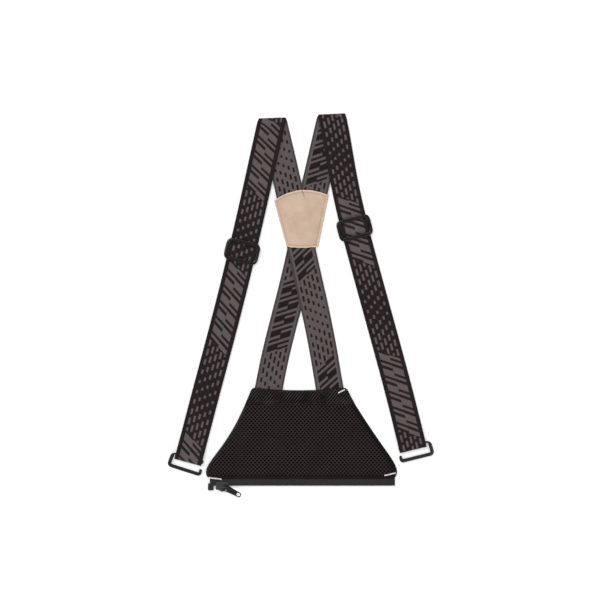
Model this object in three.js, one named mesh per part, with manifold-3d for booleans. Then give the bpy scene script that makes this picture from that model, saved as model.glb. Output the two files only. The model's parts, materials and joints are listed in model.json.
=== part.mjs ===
// X-back elastic suspenders with a leather crossing patch, tri-glide adjusters, open hooks and
// a zip-on padded back panel, laid flat.
// Millimetres, +Z up, +Y towards the shoulders. Left and right are as seen from above.

import * as THREE from 'three';
import { mergeVertices } from 'three/addons/utils/BufferGeometryUtils.js';
import ManifoldModule from 'manifold-3d';

// ---------------------------------------------------------------- driving dimensions

const GAP = 0.3; // clearance between pieces that touch on the real object

const WEBBING = {
  width: 40,
  thickness: 1.4,
  step: 9, // length of one facet along a strap
  squareAfter: 20, // distance from the shoulder fold where a strap's ends become square to it
};

// Each strap is one webbing, folded over at the shoulder. Points are its centre line in plan.
// Every height is that of a strap's lower face, given against Y.
const SIDES = {
  left: {
    outward: -1,
    foldTurn: THREE.MathUtils.degToRad(2.1),
    front: [[-41.6, 272.6], [-71.2, 139.2], [-103.8, 2.9], [-140.4, -136.3], [-164.3, -226.3]],
    rear: [[-41.6, 272.6], [-19.4, 176.9], [1.6, 78.3], [24.9, -26.1], [44.8, -137]],
    rearHeights: [[188, 0], [172, 3.2], [66, 3.2], [48, 1.75], [-14, 1.75], [-28, 0], [-95, 0], [-112, 1.1]],
    adjusterY: 79,
    hookShift: -0.6, // outwards along its bar
    hookYaw: THREE.MathUtils.degToRad(-3),
    loopSlack: 3.5,
  },
  right: {
    outward: 1,
    foldTurn: THREE.MathUtils.degToRad(2.7),
    front: [[44.7, 278.4], [71.3, 139.2], [100.3, 29], [142.8, -127.6], [162.9, -208.5]],
    rear: [[44.7, 278.4], [19.3, 168.2], [-11, 31.9], [-34.5, -60.9], [-50.4, -137]],
    rearHeights: [[188, 0], [172, 1.5], [80, 1.5], [66, 0], [-95, 0], [-112, 1.1]],
    adjusterY: 113,
    hookShift: 0.9,
    hookYaw: 0,
    loopSlack: 3.5,
  },
};

// The front strap lies on the rear strap near the shoulder, then comes down beside it.
const FRONT_STRAP = { overRear: 1.8, leavesRearY: 172, dip: 0.3 };

const ADJUSTER = {
  width: 50,
  length: 32,
  cornerRadius: 7,
  openingRadius: 1.5,
  bar: 5,
  end: 4,
  bottom: 0.9,
  barBottom: 3.4,
  top: 5.6,
  centreBar: { halfWidth: 1.8, bottom: 1.85, top: 3.3 },
};

// The strap goes under the outer bars and over the centre bar. It is flat again restsBefore its ends.
const WAVE = { halfLength: 17, low: 1.7, high: 5.45, crest: 4, foot: 11, restsBefore: 4 };

// The strap's end is wrapped round the centre bar and sewn down on itself.
const END_LOOP = { bendAt: 1.5, topLeg: 3.75, fallsFrom: -2.3, sewnHeight: 1.8, sewnAt: -6.4, end: -7.6 };

const HOOK_LOOP = { top: 5.0, leg: 10, rise: 34 };
const HOOK_BAR_HEIGHT = (HOOK_LOOP.top + WEBBING.thickness) / 2; // also the loop's outer radius

const HOOK = {
  wire: 3, // round bar in the webbing loop
  flat: { width: 5, height: 3 },
  roundTo: 22.2, // the top bar is round up to here, past the webbing
  innerEnd: -23.8,
  outerBar: 24.7,
  corner: 4.5,
  drop: 18.4, // from the top bar to the lower bar
  tip: { x: -21.3, y: -10.2, lean: 0.3 },
  knob: { diameter: 4.4, length: 1.6 },
  endTaper: 0.4,
  lowerZ: 1.6,
  rings: 48,
  sides: 8,
};

const PATCH = {
  thickness: 1.2,
  frontZ: 4.9,
  top: [[-39.3, 152.8], [0.9, 178.5], [35.5, 160.7]],
  bottom: [[-21.2, 86.1], [-1.5, 82.3], [20.3, 85.8]],
  backShift: [5.2, -2.6],
};

const PANEL = {
  leftEdge: [[-71, -119.5], [-84.8, -150.8], [-103, -185.6], [-127.6, -220.4], [-138, -237], [-136, -247.5]],
  rightEdge: [[66, -119], [78.3, -142.1], [106.6, -185.6], [130.9, -220.4], [140.2, -240], [137, -247.5]],
  topY: -119.5,
  topSag: 2.6,
  sagEndsY: -150,
  hemY: -142.7,
  bottomY: -247.5,
  foamTopY: -147,
  foamBottomY: -239,
  foamInset: 0.05, // of the panel's width, each side
  backThickness: 0.8,
  foamBottom: 1.1,
  foamEdge: 0.9,
  crown: 4.5,
  meshThickness: 1,
  hemBottom: 2.8,
};

const ZIPPER = {
  fromX: -132,
  toX: 136,
  tapeTopY: -241,
  tapeBottomY: -256.5,
  tapeThickness: 0.8,
  tapeLow: 1.1,
  tapeHigh: 2.0,
  tapeFlatFor: 1.5, // up from its lower edge
  coilFromX: -126.1,
  coilToX: 133,
  coilWidth: 3.4,
  coilBottom: 1.2,
  coilTop: 3.6,
  retainer: { x: -130.6, width: 8.2, length: 10.2, corner: 1, bottom: 0.6, top: 4.6 },
};

const SLIDER = {
  x: -114,
  length: 19,
  width: 14,
  plate: 0.9,
  lip: { width: 1.8, depth: 0.8 },
  web: { from: -3, to: -0.6 }, // across the slider, clear of the coil
  beyondCoil: 1.5,
  bail: { x: 3, length: 11, height: 4.2, wire: 1.5, width: 2.4 },
};

const PULL = {
  length: 28,
  rootWidth: 12,
  tipWidth: 7.8,
  thickness: 2,
  bar: 0.8, // half the hinge bar's width
  arm: 2,
  window: { from: 0.8, to: 8.5, taper: 0.3, radius: 0.8 },
  tipWindow: { from: 19.2, to: 25, half: 2.8, taper: 0.6, radius: 1.6 },
  tipRadius: 2.5,
  z: 6.2,
  yaw: THREE.MathUtils.degToRad(-28),
};

const TACK = { width: 1.8, height: 0.6, overTape: -0.9 };

// ---------------------------------------------------------------- materials

function cloth(color, roughness = 0.95) {
  return new THREE.MeshStandardMaterial({ color, roughness, metalness: 0 });
}

const FRONT_WEBBING = cloth(0x332c2b);
const REAR_WEBBING = cloth(0x5a5351);
const MESH_CLOTH = cloth(0x1c1818);
const LINING = cloth(0x262222);
const FOAM = cloth(0x2e2e30, 1);
const TAPE = cloth(0x312d2a);
const WHITE_THREAD = cloth(0xdcdad6);
const LEATHER = cloth(0xcdb29f, 0.85);
const BLACK_PLASTIC = cloth(0x161415, 0.45);
const BLACK_METAL = new THREE.MeshStandardMaterial({ color: 0x1c1c1d, roughness: 0.4, metalness: 0.7 });
const GREY_METAL = new THREE.MeshStandardMaterial({ color: 0x48484a, roughness: 0.4, metalness: 0.8 });

// ---------------------------------------------------------------- closed bodies

const { Manifold, Mesh: ManifoldMesh } = await loadManifold();

async function loadManifold() {
  const wasm = await ManifoldModule();
  wasm.setup();
  return wasm;
}

function evenly(from, to, steps) {
  return Array.from({ length: steps + 1 }, (_, i) => THREE.MathUtils.lerp(from, to, i / steps));
}

function signedVolume(points, triangles) {
  const scratch = new THREE.Vector3();
  let sum = 0;
  for (let i = 0; i < triangles.length; i += 3) {
    const [a, b, c] = [points[triangles[i]], points[triangles[i + 1]], points[triangles[i + 2]]];
    sum += a.dot(scratch.crossVectors(b, c)) / 6;
  }
  return sum;
}

// A geometry from points and triangles that close on themselves, with its faces pointing out.
function closedBody(points, triangles) {
  const index = signedVolume(points, triangles) < 0 ? [...triangles].reverse() : triangles;
  const geometry = new THREE.BufferGeometry().setFromPoints(points);
  geometry.setIndex(index);
  geometry.computeVertexNormals();
  return geometry;
}

// A closed body between two sheets of points: place(u, v, 0) is the lower one, place(u, v, 1) the upper.
function slab(us, vs, place) {
  const points = [];
  for (const w of [0, 1]) {
    vs.forEach((v) => us.forEach((u) => points.push(place(u, v, w))));
  }
  const at = (i, j, w) => (w * vs.length + j) * us.length + i;
  const triangles = [];
  const quad = (a, b, c, d) => triangles.push(a, b, c, a, c, d);
  const [lastI, lastJ] = [us.length - 1, vs.length - 1];
  for (let j = 0; j < lastJ; j += 1) {
    for (let i = 0; i < lastI; i += 1) {
      quad(at(i, j, 1), at(i + 1, j, 1), at(i + 1, j + 1, 1), at(i, j + 1, 1));
      quad(at(i, j, 0), at(i, j + 1, 0), at(i + 1, j + 1, 0), at(i + 1, j, 0));
    }
    quad(at(0, j + 1, 0), at(0, j, 0), at(0, j, 1), at(0, j + 1, 1));
    quad(at(lastI, j, 0), at(lastI, j + 1, 0), at(lastI, j + 1, 1), at(lastI, j, 1));
  }
  for (let i = 0; i < lastI; i += 1) {
    quad(at(i, 0, 0), at(i + 1, 0, 0), at(i + 1, 0, 1), at(i, 0, 1));
    quad(at(i + 1, lastJ, 0), at(i, lastJ, 0), at(i, lastJ, 1), at(i + 1, lastJ, 1));
  }
  return closedBody(points, triangles);
}

// A closed body through rings of points, each ring with the same number of points.
function loft(rings) {
  const size = rings[0].length;
  const points = rings.flat();
  const triangles = [];
  for (let r = 0; r < rings.length - 1; r += 1) {
    for (let i = 0; i < size; i += 1) {
      const next = (i + 1) % size;
      const [a, b] = [r * size + i, r * size + next];
      triangles.push(a, b, b + size, a, b + size, a + size);
    }
  }
  const last = (rings.length - 1) * size;
  for (let i = 1; i < size - 1; i += 1) {
    triangles.push(0, i + 1, i, last, last + i, last + i + 1);
  }
  return closedBody(points, triangles);
}

// A shape extruded from one height to another.
function plate(shape, bottom, top, curveSegments = 6) {
  const settings = { depth: top - bottom, bevelEnabled: false, curveSegments };
  return new THREE.ExtrudeGeometry(shape, settings).translate(0, 0, bottom);
}

function box(from, to) {
  const size = to.map((high, axis) => high - from[axis]);
  const middle = to.map((high, axis) => (high + from[axis]) / 2);
  return new THREE.BoxGeometry(...size).translate(...middle);
}

function toSolid(geometry) {
  const bare = new THREE.BufferGeometry().setAttribute('position', geometry.getAttribute('position').clone());
  if (geometry.index) bare.setIndex(geometry.index.clone());
  const merged = mergeVertices(bare, 1e-4);
  return new Manifold(new ManifoldMesh({
    numProp: 3,
    vertProperties: new Float32Array(merged.attributes.position.array),
    triVerts: new Uint32Array(merged.index.array),
  }));
}

function fromSolid(solid) {
  const mesh = solid.getMesh();
  const geometry = new THREE.BufferGeometry();
  geometry.setAttribute('position', new THREE.BufferAttribute(new Float32Array(mesh.vertProperties), 3));
  geometry.setIndex(new THREE.BufferAttribute(new Uint32Array(mesh.triVerts), 1));
  geometry.computeVertexNormals();
  return geometry;
}

function joined(first, ...others) {
  return fromSolid(others.reduce((solid, other) => solid.add(toSolid(other)), toSolid(first)));
}

function roundedRectangle(width, length, radius) {
  const [x, y] = [width / 2, length / 2];
  const shape = new THREE.Shape();
  shape.moveTo(-x + radius, -y);
  shape.lineTo(x - radius, -y);
  shape.absarc(x - radius, -y + radius, radius, -Math.PI / 2, 0, false);
  shape.lineTo(x, y - radius);
  shape.absarc(x - radius, y - radius, radius, 0, Math.PI / 2, false);
  shape.lineTo(-x + radius, y);
  shape.absarc(-x + radius, y - radius, radius, Math.PI / 2, Math.PI, false);
  shape.lineTo(-x, -y + radius);
  shape.absarc(-x + radius, -y + radius, radius, Math.PI, Math.PI * 1.5, false);
  return shape;
}

function named(name, geometry, material) {
  const mesh = new THREE.Mesh(geometry, material);
  mesh.name = name;
  return mesh;
}

// ---------------------------------------------------------------- webbing

// A height against Y, eased between stops that are listed from high Y to low Y.
function easedHeight(stops) {
  return (y) => {
    const next = stops.findIndex(([stopY]) => y > stopY);
    if (next === 0) return stops[0][1];
    if (next === -1) return stops[stops.length - 1][1];
    const [[fromY, fromZ], [toY, toZ]] = [stops[next - 1], stops[next]];
    return THREE.MathUtils.lerp(fromZ, toZ, 1 - THREE.MathUtils.smoothstep(y, toY, fromY));
  };
}

// The centre line of one strap in plan, measured by distance from the shoulder fold.
class StrapLine {
  constructor(points, foldDirection) {
    this.curve = new THREE.CatmullRomCurve3(points.map(([x, y]) => new THREE.Vector3(x, y, 0)));
    this.curve.arcLengthDivisions = 400;
    this.length = this.curve.getLength();
    this.foldDirection = foldDirection;
  }

  point(distance) {
    return this.curve.getPointAt(THREE.MathUtils.clamp(distance / this.length, 0, 1));
  }

  tangent(distance) {
    return this.curve.getTangentAt(THREE.MathUtils.clamp(distance / this.length, 0, 1));
  }

  // Turn about Z that brings +Y to point back along the strap, towards the shoulder.
  turn(distance) {
    const tangent = this.tangent(distance);
    return Math.atan2(tangent.x, -tangent.y);
  }

  // Half of the webbing's width, along the fold at the shoulder and square to the strap elsewhere.
  halfWidth(distance) {
    const tangent = this.tangent(distance);
    const square = new THREE.Vector3(-tangent.y, tangent.x, 0);
    const squareness = THREE.MathUtils.smoothstep(distance, 0, WEBBING.squareAfter);
    const direction = this.foldDirection.clone().lerp(square, squareness).normalize();
    return direction.multiplyScalar(WEBBING.width / 2 / direction.dot(square));
  }

  distanceAtY(y) {
    let [near, far] = [0, this.length];
    while (far - near > 1e-3) {
      const middle = (near + far) / 2;
      if (this.point(middle).y > y) near = middle;
      else far = middle;
    }
    return near;
  }
}

// A run of strap between two distances along its line.
function strapRun(line, from, to, height) {
  const steps = Math.ceil((to - from) / WEBBING.step);
  return slab([-1, 1], evenly(from, to, steps), (side, distance, w) => {
    const spot = line.point(distance).addScaledVector(line.halfWidth(distance), side);
    spot.z = height(line.point(distance).y, distance) + w * WEBBING.thickness;
    return spot;
  });
}

// A ribbon of webbing along a path in the YZ plane: each station is { y, z, ny, nz } with a unit normal.
function ribbon(stations, width) {
  const half = WEBBING.thickness / 2;
  return slab([-width / 2, width / 2], stations, (x, station, w) => {
    const offset = (2 * w - 1) * half;
    return new THREE.Vector3(x, station.y + offset * station.ny, station.z + offset * station.nz);
  });
}

// Stations of a half turn in the YZ plane, from its low side to its high side, bulging along +Y or -Y.
function halfTurn(y, z, radius, bulge, steps = 8) {
  return evenly(-Math.PI / 2, Math.PI / 2, steps).map((angle) => {
    const [ny, nz] = [bulge * Math.cos(angle), Math.sin(angle)];
    return { y: y + radius * ny, z: z + radius * nz, ny, nz };
  });
}

// ---------------------------------------------------------------- one side's strap and fittings

function shoulderBend(width) {
  return ribbon(halfTurn(0, 0, FRONT_STRAP.overRear / 2, 1), width);
}

function waveHeight(y) {
  const descent = THREE.MathUtils.smoothstep(Math.abs(y), WAVE.crest, WAVE.foot);
  return THREE.MathUtils.lerp(WAVE.high, WAVE.low, descent);
}

function adjusterWave() {
  const { width, thickness } = WEBBING;
  return slab([-width / 2, width / 2], evenly(-WAVE.halfLength, WAVE.halfLength, 34), (x, y, w) => (
    new THREE.Vector3(x, y, waveHeight(y) + w * thickness)));
}

function strapEndLoop() {
  const half = WEBBING.thickness / 2;
  const radius = END_LOOP.topLeg / 2;
  const { bendAt, topLeg, fallsFrom, sewnHeight, sewnAt, end } = END_LOOP;
  const topLegStations = [[fallsFrom, topLeg], [sewnAt, sewnHeight], [end, sewnHeight]];
  const stations = [
    { y: end, z: half, ny: 0, nz: -1 },
    ...halfTurn(bendAt, half + radius, radius, 1),
    ...topLegStations.map(([y, z]) => ({ y, z: z + half, ny: 0, nz: 1 })),
  ];
  return ribbon(stations, WEBBING.width);
}

function adjusterFrame() {
  const { width, length, bar, end, cornerRadius, openingRadius, bottom, barBottom, top } = ADJUSTER;
  const opening = roundedRectangle(width - 2 * end, length - 2 * bar, openingRadius);
  const ring = roundedRectangle(width, length, cornerRadius);
  ring.holes.push(opening);
  const ends = toSolid(plate(roundedRectangle(width, length, cornerRadius), bottom, top))
    .subtract(toSolid(box([-width / 2 + end, -length, 0], [width / 2 - end, length, top * 2])));
  const reach = width / 2 - end / 2;
  const { halfWidth, ...heights } = ADJUSTER.centreBar;
  const middle = box([-reach, -halfWidth, heights.bottom], [reach, halfWidth, heights.top]);
  return fromSolid(ends.add(toSolid(plate(ring, barBottom, top))).add(toSolid(middle)));
}

// The loop that holds the hook: a half turn with a leg on each side, its hook bar centred on the origin.
function hookLoop(slack) {
  const half = WEBBING.thickness / 2;
  const radius = HOOK_LOOP.top / 2;
  const stations = [
    { y: HOOK_LOOP.leg, z: half, ny: 0, nz: -1 },
    ...halfTurn(-slack, half + radius, radius, -1, 10),
    { y: HOOK_LOOP.leg, z: HOOK_LOOP.top + half, ny: 0, nz: 1 },
  ];
  return ribbon(stations, WEBBING.width);
}

// The hook's centre line, from the knob on its top bar round to the upturned tip.
function hookPath() {
  const { innerEnd, outerBar, corner, drop, tip } = HOOK;
  const riseX = tip.x - tip.lean;
  const path = new THREE.Path();
  path.moveTo(innerEnd, 0);
  path.lineTo(outerBar - corner, 0);
  path.quadraticCurveTo(outerBar, 0, outerBar, -corner);
  path.lineTo(outerBar, -drop + corner);
  path.quadraticCurveTo(outerBar, -drop, outerBar - corner, -drop);
  path.lineTo(tip.x + corner, -drop);
  path.quadraticCurveTo(riseX, -drop, riseX, -drop + corner);
  path.lineTo(tip.x, tip.y);
  return path;
}

// Half the hook's width and height at a distance along its centre line.
function hookHalfSize(distance, length) {
  const { wire, flat, knob, endTaper, roundTo, innerEnd, corner, rings } = HOOK;
  const loopBar = roundTo - innerEnd;
  const flatness = THREE.MathUtils.smoothstep(distance, loopBar, loopBar + corner);
  const swelling = 1 - THREE.MathUtils.smoothstep(distance, knob.length, 2 * knob.length);
  const round = THREE.MathUtils.lerp(wire, knob.diameter, swelling);
  const fromEnd = Math.min(distance, length - distance) / (length / rings);
  const ending = fromEnd < 1 ? endTaper : 1;
  return [flat.width, flat.height].map((size) => ending * THREE.MathUtils.lerp(round, size, flatness) / 2);
}

// One hook in the plane of its bars, with the top bar's axis on local X. outward is -1 or 1.
function hook(outward) {
  const path = hookPath();
  const length = path.getLength();
  const { rings, sides, drop, lowerZ } = HOOK;
  return loft(evenly(0, 1, rings).map((t) => {
    const [spot, tangent] = [path.getPointAt(t), path.getTangentAt(t)];
    const [halfWide, halfHigh] = hookHalfSize(t * length, length);
    const sink = THREE.MathUtils.smoothstep(-spot.y, 0, drop) * (HOOK_BAR_HEIGHT - lowerZ);
    return evenly(0.5, sides - 0.5, sides - 1).map((side) => {
      const angle = side / sides * 2 * Math.PI;
      const aside = halfWide * Math.cos(angle);
      const x = spot.x - aside * tangent.y;
      const y = spot.y + aside * tangent.x;
      return new THREE.Vector3(outward * x, y, halfHigh * Math.sin(angle) - sink);
    });
  }));
}

function place(name, spot, turn) {
  const group = new THREE.Group();
  group.name = name;
  group.position.copy(spot);
  group.rotation.z = turn;
  return group;
}

function frontHeights(side, line, adjusterAt) {
  const adjusterTopY = line.point(adjusterAt - WAVE.halfLength - WAVE.restsBefore).y;
  const dipY = (FRONT_STRAP.leavesRearY + adjusterTopY) / 2;
  const { overRear, leavesRearY, dip } = FRONT_STRAP;
  return easedHeight([[leavesRearY, overRear], [dipY, dip], [adjusterTopY, WAVE.low]]);
}

function strapSide(name, side) {
  const group = new THREE.Group();
  const foldDirection = new THREE.Vector3(Math.cos(side.foldTurn), Math.sin(side.foldTurn), 0);
  const front = new StrapLine(side.front, foldDirection);
  const rear = new StrapLine(side.rear, foldDirection);

  const bendOuter = (FRONT_STRAP.overRear + WEBBING.thickness) / 2;
  const strapStart = bendOuter + GAP;
  const towardsFold = new THREE.Vector3(-foldDirection.y, foldDirection.x, 0);
  const foldSpot = front.point(0).addScaledVector(towardsFold, -bendOuter);
  foldSpot.z = bendOuter;
  const fold = place(`${name}_fold_place`, foldSpot, side.foldTurn);
  fold.add(named(`${name}_shoulder_bend`, shoulderBend(2 * front.halfWidth(0).length()), FRONT_WEBBING));

  const rearRun = strapRun(rear, strapStart, rear.length, easedHeight(side.rearHeights));
  group.add(named(`${name}_rear_strap`, rearRun, REAR_WEBBING));

  const adjusterAt = front.distanceAtY(side.adjusterY);
  const heights = frontHeights(side, front, adjusterAt);
  const upper = strapRun(front, strapStart, adjusterAt - WAVE.halfLength - GAP, heights);
  group.add(named(`${name}_front_strap`, upper, FRONT_WEBBING));

  const adjuster = place(`${name}_adjuster_place`, front.point(adjusterAt), front.turn(adjusterAt));
  adjuster.add(named(`${name}_adjuster_frame`, adjusterFrame(), BLACK_PLASTIC));
  adjuster.add(named(`${name}_adjuster_wave`, adjusterWave(), FRONT_WEBBING));
  adjuster.add(named(`${name}_strap_end_loop`, strapEndLoop(), FRONT_WEBBING));

  const barAt = front.length - HOOK_BAR_HEIGHT - side.loopSlack;
  const loopFrom = barAt - HOOK_LOOP.leg - GAP;
  const riseFrom = loopFrom - HOOK_LOOP.rise;
  const lowerHeight = (_, distance) => (
    THREE.MathUtils.lerp(WAVE.low, HOOK_LOOP.top, THREE.MathUtils.smoothstep(distance, riseFrom, loopFrom)));
  const lower = strapRun(front, adjusterAt + WAVE.halfLength + GAP, loopFrom, lowerHeight);
  group.add(named(`${name}_lower_strap`, lower, FRONT_WEBBING));
  const tail = strapRun(front, adjusterAt - END_LOOP.end + GAP, loopFrom, () => 0);
  group.add(named(`${name}_strap_tail`, tail, REAR_WEBBING));

  const barSpot = front.point(barAt);
  const barTurn = front.turn(barAt);
  const loop = place(`${name}_loop_place`, barSpot, barTurn);
  loop.add(named(`${name}_hook_loop`, hookLoop(side.loopSlack), FRONT_WEBBING));

  const across = new THREE.Vector3(Math.cos(barTurn), Math.sin(barTurn), 0);
  const hookSpot = barSpot.clone().addScaledVector(across, side.outward * side.hookShift);
  hookSpot.z = HOOK_BAR_HEIGHT;
  const hookPlace = place(`${name}_hook_place`, hookSpot, barTurn + side.hookYaw);
  hookPlace.add(named(`${name}_hook`, hook(side.outward), BLACK_METAL));

  group.add(fold, adjuster, loop, hookPlace);
  return group;
}

// ---------------------------------------------------------------- crossing patch

// One leather ply with an arched top and bottom edge, moved by shift and lying at height z.
function patchPly(shift, z) {
  const arch = (points) => new THREE.QuadraticBezierCurve(...points.map(([x, y]) => new THREE.Vector2(x, y)));
  const [top, bottom] = [arch(PATCH.top), arch(PATCH.bottom)];
  return slab(evenly(0, 1, 10), [0, 1], (u, v, w) => {
    const spot = top.getPoint(u).lerp(bottom.getPoint(u), v);
    return new THREE.Vector3(spot.x + shift[0], spot.y + shift[1], z + w * PATCH.thickness);
  });
}

// ---------------------------------------------------------------- padded back panel

// X of an edge curve against Y; the curve's Y falls all the way.
function edgeX(points) {
  const curve = new THREE.SplineCurve(points.map(([x, y]) => new THREE.Vector2(x, y)));
  return (y) => {
    let [near, far] = [0, 1];
    for (let i = 0; i < 30; i += 1) {
      const middle = (near + far) / 2;
      if (curve.getPoint(middle).y > y) near = middle;
      else far = middle;
    }
    return curve.getPoint(near).x;
  };
}

const panelLeft = edgeX(PANEL.leftEdge);
const panelRight = edgeX(PANEL.rightEdge);

// A point of the panel: u runs from its left edge to its right edge, y down it.
function panelPoint(u, y, z) {
  const fade = THREE.MathUtils.smoothstep(y, PANEL.sagEndsY, PANEL.topY);
  const sag = PANEL.topSag * Math.sin(Math.PI * u) * fade;
  return new THREE.Vector3(THREE.MathUtils.lerp(panelLeft(y), panelRight(y), u), y - sag, z);
}

// How much the foam crowns, from 0 at its edges to 1 over its middle.
function crown(u, y) {
  const bump = (t) => Math.max(0, 1 - (2 * t - 1) ** 4);
  const across = THREE.MathUtils.inverseLerp(PANEL.foamInset, 1 - PANEL.foamInset, u);
  const down = THREE.MathUtils.inverseLerp(PANEL.foamTopY, PANEL.foamBottomY, y);
  return bump(THREE.MathUtils.clamp(across, 0, 1)) * bump(THREE.MathUtils.clamp(down, 0, 1));
}

const foamUs = evenly(PANEL.foamInset, 1 - PANEL.foamInset, 18);
const foamYs = evenly(PANEL.foamTopY, PANEL.foamBottomY, 12);

function panelFoam() {
  const { foamBottom, foamEdge, crown: height } = PANEL;
  return slab(foamUs, foamYs, (u, y, w) => (
    panelPoint(u, y, foamBottom + w * (foamEdge + height * crown(u, y)))));
}

function panelMeshFace() {
  const { foamBottom, foamEdge, crown: height, meshThickness, hemY, bottomY } = PANEL;
  const base = foamBottom + foamEdge + GAP;
  return slab([0, ...foamUs, 1], [hemY - GAP, ...foamYs, bottomY], (u, y, w) => (
    panelPoint(u, y, base + height * crown(u, y) + w * meshThickness)));
}

function panelBackFace() {
  const { topY, bottomY, backThickness } = PANEL;
  return slab(evenly(0, 1, 8), evenly(topY, bottomY, 14), (u, y, w) => panelPoint(u, y, w * backThickness));
}

function panelTopHem() {
  const { topY, hemY, hemBottom, meshThickness } = PANEL;
  return slab(evenly(0, 1, 10), evenly(topY, hemY, 3), (u, y, w) => (
    panelPoint(u, y, hemBottom + w * meshThickness)));
}

// A short row of thread sewn over an edge, lying just above height z.
function barTack(from, to, z) {
  const [start, end] = [new THREE.Vector2(...from), new THREE.Vector2(...to)];
  const aside = end.clone().sub(start).normalize().rotateAround(new THREE.Vector2(), Math.PI / 2);
  return slab([-1, 1], [0, 1], (side, v, w) => {
    const spot = start.clone().lerp(end, v).addScaledVector(aside, side * TACK.width / 2);
    return new THREE.Vector3(spot.x, spot.y, z + w * TACK.height);
  });
}

function backPanel() {
  const group = new THREE.Group();
  const meshEdgeTop = PANEL.foamBottom + PANEL.foamEdge + GAP + PANEL.meshThickness;
  const hemTop = PANEL.hemBottom + PANEL.meshThickness;
  const lowerLeftTack = barTack([-134, -249.4], [-115, -249.8], meshEdgeTop + TACK.overTape);
  const lowerRightTack = barTack([121, -245], [137, -242], meshEdgeTop + GAP);
  const upperRightTack = barTack([54, -125.4], [63.5, -121.2], hemTop + GAP);
  group.add(
    named('panel_back_face', panelBackFace(), LINING),
    named('panel_foam', panelFoam(), FOAM),
    named('panel_mesh_face', panelMeshFace(), MESH_CLOTH),
    named('panel_top_hem', panelTopHem(), MESH_CLOTH),
    named('lower_left_bar_tack', lowerLeftTack, WHITE_THREAD),
    named('lower_right_bar_tack', lowerRightTack, WHITE_THREAD),
    named('upper_right_bar_tack', upperRightTack, WHITE_THREAD),
  );
  return group;
}

// ---------------------------------------------------------------- zipper

const coilInnerY = ZIPPER.tapeBottomY - GAP;

function zipperTape() {
  const { fromX, toX, tapeTopY, tapeBottomY, tapeThickness, tapeLow, tapeHigh, tapeFlatFor } = ZIPPER;
  return slab([fromX, toX], evenly(tapeTopY, tapeBottomY, 8), (x, y, w) => {
    const rise = 1 - THREE.MathUtils.smoothstep(y, tapeBottomY + tapeFlatFor, PANEL.bottomY);
    return new THREE.Vector3(x, y, THREE.MathUtils.lerp(tapeLow, tapeHigh, rise) + w * tapeThickness);
  });
}

// The outer shape of the coil of teeth, along X.
function zipperCoil() {
  const { coilFromX, coilToX, coilWidth, coilBottom, coilTop } = ZIPPER;
  const height = coilTop - coilBottom;
  const section = roundedRectangle(coilWidth, height, height / 4);
  const alongX = new THREE.Matrix4().makeBasis(
    new THREE.Vector3(0, 1, 0),
    new THREE.Vector3(0, 0, 1),
    new THREE.Vector3(1, 0, 0),
  );
  const bar = plate(section, coilFromX, coilToX, 3).applyMatrix4(alongX);
  return bar.translate(0, coilInnerY - coilWidth / 2, coilBottom + height / 2);
}

// Two plates with lips round the coil, joined by a web, and a bail for the pull on top.
function zipperSlider() {
  const { length, width, plate: wall, lip, web, bail } = SLIDER;
  const halfLength = length / 2;
  const halfWidth = width / 2;
  const low = ZIPPER.coilBottom - GAP;
  const high = ZIPPER.coilTop + GAP;
  const top = high + wall;
  const parts = [
    box([-halfLength, -halfWidth, low - wall], [halfLength, halfWidth, low]),
    box([-halfLength, -halfWidth, high], [halfLength, halfWidth, top]),
    box([-halfLength, web.from, low - wall], [halfLength, web.to, top]),
  ];
  for (const from of [-halfWidth, halfWidth - lip.width]) {
    parts.push(box([-halfLength, from, low - wall], [halfLength, from + lip.width, low + lip.depth]));
    parts.push(box([-halfLength, from, high - lip.depth], [halfLength, from + lip.width, top]));
  }
  const bailTop = top + bail.height;
  const [bailFrom, bailTo] = [bail.x - bail.length / 2, bail.x + bail.length / 2];
  for (const from of [bailFrom, bailTo - bail.wire]) {
    parts.push(box([from, -bail.width / 2, high + wall / 2], [from + bail.wire, bail.width / 2, bailTop]));
  }
  parts.push(box([bailFrom, -bail.width / 2, bailTop - bail.wire], [bailTo, bail.width / 2, bailTop]));
  return joined(...parts);
}

function taperedOutline(from, to, fromHalf, toHalf, radius) {
  const shape = new THREE.Shape();
  shape.moveTo(from, -fromHalf);
  shape.lineTo(to - radius, -toHalf);
  shape.quadraticCurveTo(to, -toHalf, to, -toHalf + radius);
  shape.lineTo(to, toHalf - radius);
  shape.quadraticCurveTo(to, toHalf, to - radius, toHalf);
  shape.lineTo(from, fromHalf);
  shape.closePath();
  return shape;
}

// The pull, with its hinge bar on the origin and its length along +X.
function zipperPull() {
  const { length, rootWidth, tipWidth, thickness, bar, arm, window, tipWindow, tipRadius } = PULL;
  const outline = taperedOutline(-bar, length - bar, rootWidth / 2, tipWidth / 2, tipRadius);
  for (const { half = rootWidth / 2 - arm, from, to, taper, radius } of [window, tipWindow]) {
    outline.holes.push(taperedOutline(from, to, half, half - taper, radius));
  }
  return plate(outline, -thickness / 2, thickness / 2);
}

function retainerBox() {
  const { x, width, length, corner, bottom, top } = ZIPPER.retainer;
  const outline = roundedRectangle(width, length, corner);
  return plate(outline, bottom, top, 3).translate(x, coilInnerY - length / 2, 0);
}

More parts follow.
